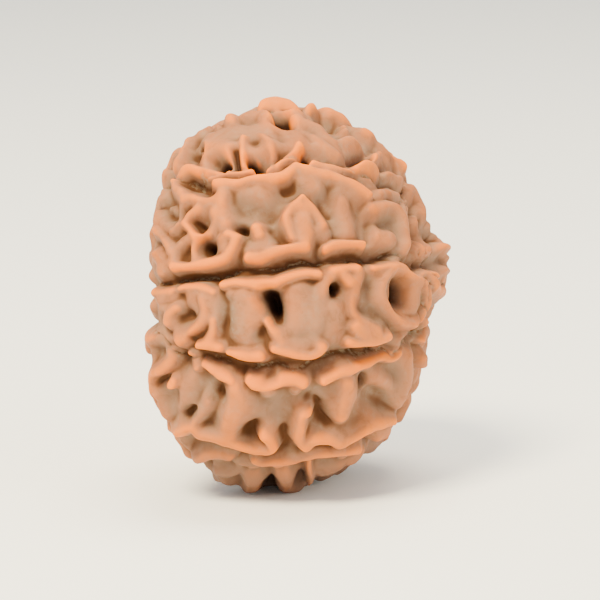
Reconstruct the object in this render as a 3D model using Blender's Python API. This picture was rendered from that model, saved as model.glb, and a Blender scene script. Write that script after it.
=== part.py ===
"""Ten mukhi rudraksha bead: the ridged stone of one fruit, standing on its rim.

Metres, +Z up. The origin is the middle of the bounding box on the surface that the bead stands on.
The stone's axis runs from the blunt end (-X) to the narrow end (+X, raised), and ten grooves run
along it from end to end. The net of ridges, the pits and the grooves are raised and sunk by formula
from a smooth body of revolution.
"""
import math

import bmesh
import bpy
import numpy as np
from mathutils import Euler

MM = 0.001

# Driving dimensions of the smooth body, in millimetres and degrees
FLOOR_RADIUS = 11.8         # from the axis to the floor between ridges, at the middle
NARROW_HALF = 8.6           # from the middle to the floor at the +X end
BLUNT_HALF = 6.8            # from the middle to the floor at the -X end
NARROW_POWER = 1.95         # 2 is an ellipse, more is squarer
BLUNT_POWER = 3.2
AXIS_TILT = 11.0            # how far the +X end is raised
RIDGE_LEVEL = 0.9           # height above the floor at which the chart's ridges were drawn
FOOT_CUT = 0.75             # how much of the lowest crests is worn flat
TRIANGLES = 10500
ICOSPHERE_STEPS = 7

# The front chart: x to the right and z up, in millimetres, seen from this direction and distance
CHART_AZIMUTH = 22.0
CHART_ELEVATION = 9.0
CHART_DISTANCE = 260.0
CHART_CENTRE = (-0.2, 0.17)  # where the stone's middle falls on the chart
CHART_EDGE = 0.10           # the chart reaches to where the surface faces its eye this little

# Where the stone is fuller or leaner than a body of revolution: rise, half width, chart point
SWELLINGS = [
    (0.85, 3.4, (-8.9, -6.4)),
    (0.75, 2.8, (-6.4, -10.6)),
    (-0.45, 3.0, (-9.0, 5.5)),
    (-0.60, 1.2, (-9.8, -0.9)),
    (-0.80, 3.2, (9.0, -3.4)),
    (-0.50, 2.6, (-7.0, 10.8)),
    (-0.60, 1.8, (-4.4, 12.4)),
    (-0.45, 2.8, (6.9, -8.8)),
    (-0.55, 1.8, (7.8, -7.8)),
    (-0.60, 1.8, (4.4, -11.2)),
    (0.60, 2.2, (9.6, 1.8)),
    (-0.50, 1.0, (9.6, -1.0)),
    (0.70, 1.6, (7.4, 8.9)),
]

# Grooves: chart points from left to right, then the turn about the axis (degrees up from the
# front) at which each one reaches the two ends
GROOVES_IN_CHART = [
    (12.0, [(-9.4, 1.0), (-8.5, 0.85), (-7.0, 1.05), (-5.2, 1.2), (-3.6, 1.75), (-1.4, 1.85), (0.5, 2.2),
            (2.5, 2.3), (4.4, 2.45), (6.5, 2.55)]),
    (-16.0, [(-9.2, -1.55), (-8.2, -2.5), (-7.4, -3.6), (-6.0, -3.9), (-4.6, -4.1), (-3.0, -4.5),
             (-1.2, -4.45), (0.4, -4.6), (1.6, -4.2), (2.9, -3.75), (5.0, -3.7), (6.8, -3.2), (8.0, -2.3),
             (8.6, -0.8)]),
    (-56.0, [(-8.6, -8.5), (-7.3, -8.9), (-6.4, -9.3), (-5.4, -9.75), (-4.0, -10.25), (-2.2, -10.6),
             (-0.4, -10.45), (1.0, -10.0), (2.6, -10.2), (4.6, -9.4), (5.8, -8.9), (7.0, -7.9)]),
    (50.0, [(-8.8, 7.4), (-7.7, 7.6), (-6.6, 7.4), (-5.3, 7.6), (-3.5, 7.95), (-1.8, 8.25), (-0.2, 8.65),
            (1.0, 8.6), (2.6, 8.15), (4.0, 7.6), (5.6, 6.9), (6.6, 6.3), (7.6, 5.0)]),
    (84.0, [(-7.2, 10.9), (-5.4, 11.0), (-3.5, 11.35), (-1.6, 11.5), (0.6, 11.4), (2.4, 10.95), (3.9, 10.7),
            (5.2, 10.1), (6.5, 9.2), (7.4, 8.2)]),
    (-88.0, [(-6.2, -11.2), (-4.0, -12.2), (-1.6, -12.3), (0.6, -12.2), (2.4, -11.6)]),
]
HIDDEN_GROOVES = [121.0, 158.0, 196.0, 234.0]
GROOVE_DEPTH = 0.5
GROOVE_WIDTH = 0.55
GROOVE_SWING = 3.0          # how far a hidden groove wanders, in degrees

# Ridges read off the photograph: height, half width, then chart points as (x, z) or
# (x, z, scale of the width)
FRONT_RIDGES = [
    # the crown above the first groove of the front
    (1.30, 0.66, [(-2.3, 12.7, 0.8), (-1.7, 12.95), (-0.8, 12.85), (0.0, 12.5, 0.9)]),
    (0.85, 0.50, [(-3.25, 11.9), (-2.7, 12.15)]),
    (1.10, 0.42, [(-4.15, 11.75), (-4.15, 11.55)]),
    (0.85, 0.32, [(-5.1, 11.55), (-5.05, 11.2)]),
    (0.85, 0.36, [(-5.85, 11.45), (-6.3, 11.1)]),
    (0.80, 0.36, [(-6.6, 10.95), (-7.3, 10.4)]),
    (0.90, 0.60, [(-1.9, 12.2), (-1.9, 11.5), (-1.5, 11.0)]),
    (0.85, 0.50, [(0.3, 12.2), (0.4, 11.5)]),
    (1.15, 0.45, [(0.8, 12.35), (1.4, 12.45), (2.4, 12.15), (3.3, 11.7), (4.1, 11.2), (4.3, 10.95)]),
    (0.75, 0.40, [(3.1, 11.7), (3.3, 11.2)]),
    (0.95, 0.55, [(0.9, 11.5), (1.6, 11.1), (2.2, 10.5), (2.9, 10.15), (3.6, 10.3), (4.1, 10.3)]),
    # between the first and second groove
    (0.80, 0.90, [(-5.6, 10.6), (-4.2, 10.75), (-2.6, 11.1), (-1.0, 10.9), (0.4, 10.7), (1.4, 10.2),
                  (2.0, 9.6)]),
    (0.95, 0.75, [(1.3, 10.4), (2.0, 9.9), (2.6, 9.3)]),
    (1.15, 0.40, [(0.9, 8.95), (1.7, 8.65), (2.6, 8.4), (3.5, 8.4), (4.1, 8.45)]),
    (0.85, 0.35, [(0.95, 9.1), (1.8, 9.2), (2.7, 8.95)]),
    (1.15, 0.62, [(4.4, 8.6), (5.0, 8.35), (5.3, 8.1)]),
    (0.90, 0.40, [(4.9, 9.2), (5.6, 9.3)]),
    (1.10, 0.60, [(4.6, 10.6), (5.2, 10.45), (5.8, 10.0), (6.2, 9.4)]),
    (1.00, 0.50, [(6.5, 9.3), (7.1, 8.9), (7.3, 8.65)]),
    (0.85, 0.42, [(6.1, 8.1), (6.9, 7.8), (7.3, 7.5)]),
    (1.20, 0.40, [(-1.2, 8.6), (-0.6, 9.1), (0.0, 9.55), (0.3, 9.85)]),
    (1.00, 0.28, [(-3.45, 10.4), (-3.45, 9.5), (-3.45, 8.7)]),
    (0.95, 0.30, [(-3.4, 10.35), (-2.6, 10.65), (-1.9, 10.35), (-1.6, 9.5), (-1.7, 8.6)]),
    (0.85, 0.26, [(-4.3, 10.2), (-4.25, 8.8)]),
    (0.80, 0.40, [(-5.75, 10.3), (-5.8, 9.5), (-5.6, 8.9)]),
    (0.90, 0.42, [(-7.1, 10.5), (-7.5, 9.9), (-7.9, 9.1), (-8.15, 8.6)]),
    (0.95, 0.45, [(-7.9, 10.1), (-8.5, 9.3), (-9.0, 8.4), (-9.25, 7.7)]),
    (1.15, 0.38, [(-8.3, 7.9), (-7.7, 8.3, 1.2), (-7.1, 8.55, 1.1), (-6.3, 8.4), (-5.4, 8.25), (-4.4, 8.35),
                  (-3.5, 8.3), (-2.8, 8.5)]),
    # between the second and third groove: upper shelf, triangle and net
    (0.90, 0.40, [(-8.3, 7.8), (-8.1, 7.2), (-7.7, 6.9)]),
    (1.25, 0.42, [(-5.15, 7.45, 1.1), (-4.6, 7.4, 1.1), (-3.8, 7.35), (-3.0, 7.6), (-2.2, 7.7), (-1.2, 7.75),
                  (-0.4, 8.0), (0.3, 8.3, 1.15), (1.2, 8.05, 1.1), (2.3, 7.85), (3.2, 7.5), (4.2, 6.95),
                  (4.8, 6.55)]),
    (1.00, 0.50, [(-5.0, 7.2), (-4.75, 6.7), (-4.85, 6.2)]),
    (0.75, 0.65, [(-3.4, 6.9), (-2.4, 7.0)]),
    (0.95, 0.75, [(0.7, 7.8), (1.2, 7.3)]),
    (0.85, 0.70, [(3.2, 7.1), (4.2, 6.7)]),
    (1.05, 0.48, [(-7.35, 6.55, 1.1), (-6.8, 6.6, 1.1), (-6.2, 6.35), (-5.6, 6.25), (-5.1, 6.5)]),
    (0.80, 0.50, [(-6.6, 6.3), (-6.4, 5.8)]),
    (1.00, 0.36, [(-6.35, 3.95), (-6.9, 4.4), (-7.2, 4.9, 1.1), (-6.9, 5.4, 1.3), (-6.4, 5.8, 1.3)]),
    (0.85, 0.28, [(-7.1, 4.7), (-7.6, 4.85), (-8.2, 4.45)]),
    (1.00, 0.28, [(-6.35, 3.9), (-5.9, 4.1), (-5.5, 4.5), (-5.25, 5.0), (-5.25, 5.6)]),
    (0.80, 0.75, [(-4.9, 5.3), (-4.7, 4.8)]),
    (0.95, 0.28, [(-6.4, 3.8), (-6.45, 3.2), (-6.2, 2.6)]),
    (0.95, 0.26, [(-6.6, 4.0), (-7.2, 3.5), (-7.8, 2.8), (-8.1, 2.3)]),
    (1.20, 0.34, [(-7.9, 1.95), (-7.0, 1.95), (-6.0, 2.1), (-5.0, 2.4), (-4.4, 2.8), (-3.95, 3.4),
                  (-3.9, 3.9), (-4.3, 4.1, 0.9)]),
    (0.85, 0.50, [(-4.7, 3.9), (-4.6, 3.4)]),
    (0.95, 0.36, [(-9.35, 4.55), (-8.9, 4.2), (-8.5, 3.6), (-8.3, 3.0)]),
    (0.90, 0.50, [(-9.45, 5.6), (-9.5, 5.1)]),
    (0.75, 0.50, [(-8.9, 5.1), (-8.6, 4.8)]),
    (0.70, 0.24, [(-7.8, 6.1), (-7.75, 5.2), (-7.8, 4.8)]),
    (0.60, 0.26, [(-8.6, 6.0), (-8.5, 5.95)]),
    (0.80, 0.40, [(-9.1, 7.4), (-9.2, 6.7)]),
    (0.90, 0.60, [(-9.3, 2.9), (-8.9, 2.3), (-8.9, 1.7)]),
    (1.10, 0.46, [(-2.55, 4.5), (-2.4, 4.3)]),
    (0.70, 0.45, [(-2.2, 4.0), (-1.6, 3.5)]),
    (1.05, 0.34, [(0.45, 6.6), (0.0, 6.1), (-0.5, 5.5), (-0.65, 4.9), (-0.4, 4.2), (-0.1, 3.5)]),
    (0.95, 0.34, [(0.45, 6.6), (0.9, 6.0), (1.3, 5.4), (1.8, 4.8), (2.2, 4.4)]),
    (1.00, 0.62, [(0.4, 6.0, 0.7), (0.3, 5.2, 1.1), (0.5, 4.5, 1.2), (0.3, 3.9)]),
    (0.90, 0.38, [(3.2, 6.3), (3.35, 5.4), (3.5, 4.6), (3.6, 3.9)]),
    (1.25, 0.36, [(-2.95, 2.65), (-2.2, 2.55, 1.1), (-1.4, 2.85), (-0.5, 3.05), (0.3, 3.2, 1.2),
                  (0.7, 3.35, 1.1)]),
    (0.75, 0.50, [(-2.9, 3.2), (-1.9, 3.25)]),
    (1.20, 0.34, [(2.2, 3.25), (3.0, 3.45), (3.8, 3.5), (4.4, 3.45)]),
    (1.05, 0.42, [(5.2, 5.7), (5.9, 6.0), (6.6, 5.85), (7.1, 5.3), (7.35, 4.6), (7.5, 3.8), (7.3, 3.2),
                  (6.9, 2.75)]),
    (0.95, 0.70, [(5.6, 3.9), (6.3, 3.75)]),
    (0.90, 0.50, [(5.6, 6.8), (6.4, 7.1), (7.0, 6.9)]),
    # between the third and fourth groove: the middle band
    (1.00, 0.40, [(-9.3, 0.45), (-8.6, 0.4), (-8.1, 0.4)]),
    (0.80, 0.50, [(-8.9, -0.1), (-8.2, -0.05)]),
    (1.10, 0.32, [(-7.5, 0.5), (-6.8, 0.55), (-6.0, 0.5), (-5.4, 0.35)]),
    (0.75, 0.45, [(-6.3, 0.1), (-5.7, 0.0)]),
    (0.80, 0.32, [(-6.9, 0.2), (-6.9, -0.4), (-6.8, -0.8)]),
    (0.65, 0.40, [(-8.9, -0.8), (-8.3, -0.8), (-7.6, -0.65)]),
    (1.05, 0.48, [(-8.35, -1.75), (-8.2, -1.3), (-7.7, -0.95)]),
    (1.15, 0.40, [(-7.6, -2.75, 1.15), (-7.0, -2.5), (-6.4, -2.0), (-6.0, -1.5), (-5.9, -0.9), (-6.1, -0.3)]),
    (1.15, 0.50, [(-6.2, -3.15, 0.8), (-5.5, -3.1), (-4.9, -3.2, 0.8)]),
    (1.05, 0.50, [(-5.5, -2.9, 1.1), (-5.3, -2.2, 0.8), (-5.3, -1.5, 0.7)]),
    (0.85, 0.40, [(-5.3, -1.5), (-5.2, -0.8), (-5.4, -0.1)]),
    (1.25, 0.38, [(-4.75, 0.85), (-4.0, 1.0), (-3.2, 0.95, 1.1), (-2.3, 0.8, 1.5), (-1.5, 0.9, 1.2),
                  (-0.8, 1.15), (0.0, 1.35), (0.9, 1.5), (1.5, 1.5)]),
    (0.80, 0.55, [(-4.2, 0.2), (-3.4, 0.2)]),
    (0.80, 0.45, [(-3.0, -0.3), (-3.0, -1.2), (-3.0, -1.9)]),
    (0.95, 0.30, [(-2.05, 0.2), (-2.05, -0.7), (-1.75, -1.5), (-1.2, -2.2), (-0.7, -2.9)]),
    (0.90, 0.28, [(-2.5, -2.3), (-2.1, -1.95), (-1.7, -2.0)]),
    (1.25, 0.46, [(-4.3, -3.55, 0.6), (-3.6, -3.75), (-2.9, -3.85), (-2.3, -3.8)]),
    (1.20, 0.42, [(-1.3, -3.3, 0.9), (-0.4, -3.6), (0.3, -3.85), (1.1, -3.9), (1.6, -3.6), (1.8, -3.2)]),
    (0.85, 0.60, [(-0.6, -3.0), (0.6, -3.2), (1.4, -3.0)]),
    (0.95, 0.34, [(2.5, 1.75), (2.1, 0.9), (1.9, 0.0), (1.95, -1.0), (1.6, -1.9), (1.0, -2.5)]),
    (1.15, 0.36, [(2.6, 1.8), (3.3, 2.0), (4.0, 1.95, 1.1)]),
    (1.00, 0.40, [(4.1, 1.8), (3.95, 0.8), (3.8, -0.2), (3.9, -1.0), (4.6, -1.7), (5.4, -2.1), (6.2, -2.45)]),
    (0.85, 0.60, [(3.1, 1.4), (3.3, 0.8)]),
    (0.75, 0.40, [(2.8, -0.6), (3.0, -1.0)]),
    (1.20, 0.42, [(3.6, -3.0, 0.9), (4.4, -3.1), (5.4, -2.95), (6.2, -2.7)]),
    (1.10, 0.70, [(4.1, -2.0, 0.8), (4.6, -2.5), (5.3, -2.5, 0.9)]),
    (0.65, 0.50, [(-0.3, -0.4), (0.4, -0.7)]),
    (1.05, 0.42, [(5.2, 1.95, 0.8), (6.0, 2.0), (6.8, 1.95), (7.4, 1.7), (8.0, 1.2), (8.4, 0.5), (8.6, -0.3),
                  (8.6, -1.1)]),
    (1.00, 0.42, [(6.4, 1.7), (5.85, 1.0), (5.75, 0.2), (6.0, -0.6), (6.6, -1.3), (7.3, -1.7, 1.2),
                  (8.0, -1.8, 1.2), (8.5, -1.4)]),
    (0.80, 0.60, [(5.8, 1.6), (6.4, 1.75)]),
    (0.55, 0.60, [(7.8, 0.6), (7.8, -0.5)]),
    # between the fourth and fifth groove: the lower band
    (1.15, 0.36, [(-6.0, -4.55), (-5.4, -4.85), (-4.7, -5.2), (-4.1, -5.45, 0.7)]),
    (1.25, 0.40, [(-2.9, -5.35, 0.8), (-2.3, -5.65, 1.2), (-1.6, -5.7, 1.1), (-0.8, -5.45), (0.1, -5.4),
                  (0.6, -5.6)]),
    (0.80, 0.45, [(-2.0, -6.0), (-1.8, -6.4)]),
    (0.60, 0.28, [(0.05, -6.2), (0.05, -6.4)]),
    (1.20, 0.38, [(1.95, -5.6), (2.5, -5.3), (3.2, -4.9), (4.1, -4.65), (5.0, -4.5), (6.0, -4.25),
                  (6.9, -4.0), (7.2, -3.85)]),
    (1.05, 0.66, [(3.7, -5.5, 0.8), (3.6, -6.2), (3.2, -7.0), (3.1, -7.8), (3.2, -8.5)]),
    (0.85, 0.45, [(7.7, -4.5), (8.0, -5.4), (7.9, -6.2), (7.5, -7.0), (7.0, -7.6)]),
    (0.60, 0.60, [(5.9, -5.6), (6.5, -6.2)]),
    (1.05, 0.66, [(-3.7, -5.8, 0.7), (-3.5, -6.5), (-3.8, -7.3), (-4.1, -8.2), (-4.2, -8.9)]),
    (0.95, 0.42, [(-7.0, -3.8, 0.7), (-6.7, -4.2), (-6.5, -4.75)]),
    (0.85, 0.34, [(-7.3, -5.3), (-7.4, -6.2), (-7.3, -7.0)]),
    (1.05, 0.42, [(-8.25, -3.6), (-8.15, -4.05), (-8.6, -4.6), (-9.1, -5.2, 1.2), (-9.2, -5.9, 1.2)]),
    (1.00, 0.60, [(-9.7, -2.5), (-9.1, -2.6), (-8.6, -2.9, 0.8)]),
    (0.90, 0.50, [(-9.8, -3.4), (-9.75, -4.1), (-9.6, -4.8)]),
    (0.95, 0.60, [(-9.1, -6.3), (-8.9, -7.1), (-8.6, -7.8), (-8.1, -8.3)]),
    (0.95, 0.30, [(-7.8, -5.62), (-7.78, -5.72)]),
    (1.05, 0.60, [(-8.0, -7.5), (-7.7, -8.1), (-7.1, -8.4)]),
    (0.95, 0.36, [(-5.75, -6.9), (-6.2, -7.5), (-6.6, -8.1)]),
    (1.20, 0.42, [(-7.2, -8.35), (-6.5, -8.4), (-6.0, -8.8), (-5.2, -9.0), (-4.4, -9.3), (-3.6, -9.6),
                  (-2.8, -9.85), (-2.0, -9.95, 1.2), (-1.5, -9.75, 1.2), (-1.6, -9.3, 1.1), (-2.1, -8.95)]),
    (1.10, 0.45, [(1.0, -7.65, 0.7), (0.5, -7.8, 0.9), (0.35, -8.5), (0.3, -9.1), (0.5, -9.6)]),
    (1.20, 0.48, [(0.7, -9.7, 0.8), (1.3, -9.3), (2.2, -9.25), (3.0, -9.45, 1.1), (3.7, -9.2),
                  (4.6, -8.8, 0.9), (5.6, -8.5, 0.9), (6.5, -8.2)]),
    (1.00, 0.66, [(5.6, -9.3), (6.2, -9.0)]),
    # below the fifth groove
    (1.05, 0.50, [(-7.7, -9.1), (-7.2, -9.7), (-6.5, -10.0), (-5.6, -10.0), (-4.9, -10.1), (-4.2, -10.4)]),
    (1.15, 0.36, [(-2.6, -10.7, 1.2), (-2.1, -10.9, 1.1), (-1.3, -10.8), (-0.5, -10.8), (0.3, -10.8),
                  (0.9, -10.45), (1.5, -10.25), (2.4, -10.1), (3.3, -10.15), (4.2, -10.05)]),
    (0.90, 0.55, [(-5.0, -11.0), (-4.2, -11.3), (-3.4, -11.1)]),
    (1.05, 0.60, [(-4.9, -11.7), (-4.5, -12.2)]),
    (1.35, 0.75, [(-2.7, -11.6), (-2.6, -12.4, 0.9), (-2.6, -12.9, 0.7)]),
    (1.35, 0.75, [(-0.9, -11.4), (-0.5, -12.2), (0.0, -12.9, 0.8)]),
    (1.05, 0.26, [(1.0, -10.9), (1.05, -11.6), (1.1, -12.3)]),
    (0.95, 0.65, [(2.0, -11.6), (2.9, -11.2)]),
    (1.00, 0.55, [(3.1, -10.9), (4.0, -10.8), (4.6, -10.4)]),
    # beyond the narrow end
    (0.95, 0.50, [(7.7, 7.2), (8.2, 6.9), (8.4, 6.1), (8.4, 5.2)]),
    (0.85, 0.30, [(7.65, 7.0), (7.6, 6.0), (7.5, 5.3)]),
    (0.80, 0.40, [(8.9, 4.6), (9.2, 4.2)]),
    (1.00, 0.62, [(8.5, 3.1), (9.2, 3.15, 0.8), (9.7, 3.25, 0.5)]),
    (0.90, 0.32, [(8.3, 1.45), (9.2, 1.5), (10.0, 1.7), (10.1, 2.1), (9.6, 2.5)]),
    (1.00, 0.75, [(8.9, 0.8), (9.5, 0.6)]),
    (1.00, 0.58, [(9.0, -1.5), (9.1, -2.3, 0.9), (8.8, -3.0, 0.6)]),
    (1.00, 0.50, [(8.8, -4.3), (8.8, -4.7)]),
    (0.90, 0.40, [(8.5, -2.6), (8.3, -3.5), (8.4, -4.4), (8.3, -5.2), (8.1, -6.0)]),
]

# Pits and hollows read off the photograph, given in the same way with a depth
FRONT_PITS = [
    (1.80, 0.42, [(-0.85, 11.9), (-0.5, 11.8)]),
    (0.80, 0.45, [(1.4, 11.9, 0.8), (2.1, 11.4), (2.8, 10.9)]),
    (0.35, 0.20, [(3.3, 10.7), (4.3, 10.9)]),
    (0.60, 0.45, [(-6.75, 9.95), (-6.55, 9.4)]),
    (0.50, 0.14, [(-6.45, 10.3), (-6.2, 9.9), (-6.15, 9.4)]),
    (0.50, 0.42, [(-5.3, 9.7), (-5.0, 9.5)]),
    (1.60, 0.36, [(-5.0, 9.15), (-4.75, 9.05)]),
    (0.70, 0.24, [(-3.85, 9.6), (-3.85, 8.9)]),
    (0.40, 0.50, [(-2.6, 10.0), (-2.5, 9.6)]),
    (1.90, 0.30, [(-2.95, 9.25), (-2.75, 9.0)]),
    (1.90, 0.22, [(-2.55, 9.2), (-2.4, 8.7), (-2.25, 8.3)]),
    (0.50, 0.45, [(-1.0, 10.3), (-0.8, 9.9)]),
    (1.80, 0.28, [(0.75, 9.6), (0.7, 9.1), (0.5, 8.75)]),
    (0.60, 0.32, [(0.9, 10.0), (1.1, 9.7)]),
    (1.60, 0.34, [(3.9, 9.25), (4.4, 9.4), (4.8, 9.5)]),
    (0.50, 0.40, [(3.0, 9.4), (3.5, 9.4)]),
    (0.60, 0.50, [(3.9, 9.8), (4.4, 9.9)]),
    (0.70, 0.40, [(6.1, 9.1), (6.0, 8.6)]),
    (0.50, 0.40, [(5.1, 7.4), (5.7, 7.4)]),
    (0.70, 0.34, [(-7.0, 7.55), (-6.2, 7.45), (-5.7, 7.1)]),
    (0.70, 0.36, [(-0.6, 6.9), (0.0, 7.0)]),
    (1.00, 0.36, [(1.5, 6.4), (1.8, 5.9), (2.3, 5.3)]),
    (0.40, 0.60, [(-3.2, 5.8), (-2.4, 5.9), (-1.6, 5.3)]),
    (1.00, 0.34, [(-1.5, 4.4), (-1.2, 3.9)]),
    (2.00, 0.40, [(-3.4, 4.3), (-3.25, 4.2)]),
    (2.40, 0.46, [(-5.65, 3.3), (-5.6, 3.2)]),
    (1.10, 0.34, [(-6.3, 4.7, 0.8), (-6.05, 4.3)]),
    (0.70, 0.32, [(-6.95, 3.2), (-7.3, 2.8)]),
    (0.45, 0.40, [(-8.3, 5.4), (-8.2, 5.2)]),
    (0.45, 0.34, [(-8.4, 4.2), (-7.9, 3.7)]),
    (0.45, 0.20, [(-8.3, 2.4), (-8.4, 1.8)]),
    (0.70, 0.22, [(4.2, 5.55), (4.6, 5.5)]),
    (0.50, 0.36, [(4.8, 5.0), (4.8, 3.6)]),
    (1.40, 0.40, [(-7.2, -1.35, 0.9), (-6.7, -1.15)]),
    (0.80, 0.26, [(-6.4, -2.5), (-5.9, -2.15)]),
    (0.50, 0.34, [(-4.1, -1.6), (-4.1, -2.8)]),
    (0.60, 0.26, [(-4.6, -2.6), (-4.5, -3.1)]),
    (2.60, 0.50, [(-1.4, -0.15, 1.1), (-1.2, -0.8), (-0.95, -1.45, 0.65)]),
    (1.40, 0.34, [(-2.2, -2.6), (-1.85, -2.5)]),
    (2.20, 0.36, [(2.6, 0.55), (2.7, 0.0, 0.9)]),
    (3.00, 0.50, [(6.6, 0.45), (6.6, 0.0)]),
    (0.80, 0.60, [(7.1, 0.5), (7.2, -0.2)]),
    (0.90, 0.36, [(-1.7, -4.95), (-1.3, -4.95)]),
    (2.00, 0.36, [(4.65, -5.4, 0.8), (4.6, -6.1)]),
    (0.60, 0.80, [(5.2, -6.6), (5.8, -7.0)]),
    (1.10, 0.30, [(-7.45, -5.15), (-8.0, -5.15), (-8.25, -5.6), (-8.15, -6.0)]),
    (1.80, 0.38, [(-6.5, -7.0), (-6.7, -7.35)]),
    (0.90, 0.34, [(-4.7, -5.75), (-4.6, -6.1)]),
    (0.60, 0.50, [(-9.2, -3.4), (-9.1, -3.9)]),
    (0.60, 0.34, [(-7.6, -3.7), (-7.5, -3.9)]),
    (0.80, 0.50, [(-3.0, -8.6), (-2.7, -8.4), (-2.2, -8.2, 0.8)]),
    (0.60, 0.40, [(-0.8, -8.6), (-0.7, -9.6)]),
    (1.30, 0.45, [(1.6, -7.3, 0.8), (1.8, -7.9), (2.3, -8.2, 0.8)]),
    (0.50, 0.40, [(0.9, -6.7), (1.3, -6.9)]),
    (1.20, 0.28, [(4.6, -9.3), (4.9, -9.8)]),
    (1.90, 0.30, [(-1.75, -11.5), (-1.5, -12.2)]),
    (1.30, 0.38, [(0.2, -11.3), (0.4, -11.7)]),
    (1.20, 0.26, [(1.6, -10.95), (1.9, -11.15)]),
    (0.60, 0.30, [(-3.6, -11.8), (-3.7, -12.2)]),
    (0.70, 0.30, [(8.0, 4.9), (7.95, 4.4)]),
    (0.90, 0.22, [(7.3, 2.3), (7.6, 2.1)]),
    (0.80, 0.20, [(8.1, 1.75), (8.4, 1.75)]),
    (0.50, 0.36, [(8.9, 2.0), (9.5, 2.1)]),
    (0.50, 0.36, [(7.1, -2.8), (7.6, -2.9)]),
]

# The sides that the chart doesn't reach: ridges and pits by rule, with seeded draws
HIDDEN_SEED = 11
SHELF_OFFSET = 0.95         # from a groove to the shelf beside it
SHELF_START = (24.0, 31.0)  # where a shelf may begin, in degrees from the +X end
SHELF_STOP = 166.0
SHELF_LENGTH = (11.0, 26.0)
SHELF_GAP = (4.0, 7.0)
SHELF_WANDER = (0.8, 1.35)  # scales its offset from point to point
RIB_SPACING = 2.35          # between cross ribs, along a segment
RIB_START = 24.0
RIB_STOP = 160.0
RIB_LEAN = 4.5              # how far a cross rib slants, in degrees
NARROW_SEGMENT = 3.6        # a segment this narrow has one rib along its middle, and no pits
END_LOBE = (0.95, 0.62, (13.0, 25.0))   # height, half width and span of the lobe that starts a segment
PIT_CHANCE = 0.75
RIDGE_HEIGHTS = (0.85, 1.25)
RIDGE_WIDTHS = (0.38, 0.54)
PIT_DEPTHS = (0.7, 2.0)
PIT_WIDTHS = (0.30, 0.46)

# The profile of ridges and pits
RIDGE_RISE = 1.3            # scales every ridge's height
RIDGE_SPREAD = 1.12          # scales every ridge's half width
RIDGE_SHARPNESS = 2.7       # more is flatter on top and steeper at the sides
CREST_SHARE = 0.64          # of a ridge's height, the rest is its skirt
SKIRT_SPREAD = 2.5          # the skirt's half width over the ridge's
PIT_LEVEL = 0.3             # height above the floor at which the chart's pits were drawn
PIT_SHARPNESS = 2.6
GROOVE_SHARPNESS = 2.0
UNION_POWER = 5.0           # more keeps crossing ridges from adding up
WARP = 0.084                # how far the ridges wander from their drawn lines
WARP_LENGTH = 2.6
SWELL = 0.14                # low waves of the floor
SWELL_LENGTH = 9.0
END_DIMPLE = 1.3            # the dimple at each end of the axis
END_DIMPLE_WIDTH = 1.1
END_ANGLE = 4.0             # how near to the axis the grooves run, in degrees

SEARCH_REACH = (16.0, 6.0)  # how far before and behind the middle a line of sight is searched
SEARCH_STEP = 0.02
TILT_PROBE = 0.01           # step of the test that finds which way the floor faces
PROBE_SIDE = (0.31, 0.54, 0.78)
FOOT_BLOCK = (30.0, 30.0, 4.0)

STONE_COLOUR = (0.52, 0.25, 0.125, 1.0)
STONE_ROUGHNESS = 0.5


def unit(vectors):
    return vectors / np.linalg.norm(vectors, axis=-1, keepdims=True)


def stone_to_world():
    return np.array(Euler((0.0, -math.radians(AXIS_TILT), 0.0)).to_matrix())


def chart_frame():
    """Right, up and towards-the-eye directions of the front chart, in the stone's own frame."""
    az = math.radians(CHART_AZIMUTH)
    el = math.radians(CHART_ELEVATION)
    right = np.array([math.cos(az), math.sin(az), 0.0])
    back = np.array([math.sin(az) * math.cos(el), -math.cos(az) * math.cos(el), math.sin(el)])
    untilt = stone_to_world().T
    return untilt @ right, untilt @ np.cross(back, right), untilt @ back


def floor_radius(directions):
    """Distance from the middle to the smooth floor, along unit directions."""
    along = directions[..., 0]
    across = np.sqrt(np.clip(1.0 - along ** 2, 0.0, 1.0))
    half = np.where(along > 0, NARROW_HALF, BLUNT_HALF)
    power = np.where(along > 0, NARROW_POWER, BLUNT_POWER)
    return ((np.abs(along) / half) ** power + (across / FLOOR_RADIUS) ** power) ** (-1.0 / power)


def on_level(directions, level):
    return directions * (floor_radius(directions) + level)[..., None]


def chart_point(x, z, level):
    """The point of the surface at this level that the chart's eye sees at x, z."""
    right, up, back = chart_frame()
    eye = back * CHART_DISTANCE
    target = right * (x - CHART_CENTRE[0]) + up * (z - CHART_CENTRE[1])
    steps = np.arange(CHART_DISTANCE - SEARCH_REACH[0], CHART_DISTANCE + SEARCH_REACH[1], SEARCH_STEP)
    points = eye + unit(target - eye) * steps[:, None]
    reach = np.linalg.norm(points, axis=1) / (floor_radius(unit(points)) + level)
    inside = np.nonzero(reach <= 1.0)[0]
    nearest = inside[0] if len(inside) else int(np.argmin(reach))
    return on_level(unit(points[nearest]), level)


def chart_run(chart, level):
    """A smooth run through chart points, each one (x, z) or (x, z, scale of the width)."""
    return rounded([np.append(chart_point(spot[0], spot[1], level), spot[2] if len(spot) > 2 else 1.0)
                    for spot in chart])


def polar_point(angle, turn, level):
    """A point at an angle from the +X end and a turn up from the front, both in degrees."""
    a = math.radians(angle)
    t = math.radians(turn)
    direction = np.array([math.cos(a), -math.sin(a) * math.cos(t), math.sin(a) * math.sin(t)])
    return on_level(direction, level)


def turn_of(point):
    return math.degrees(math.atan2(point[2], -point[1]))


def angle_of(point):
    return math.degrees(math.acos(np.clip(point[0] / np.linalg.norm(point), -1.0, 1.0)))


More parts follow.
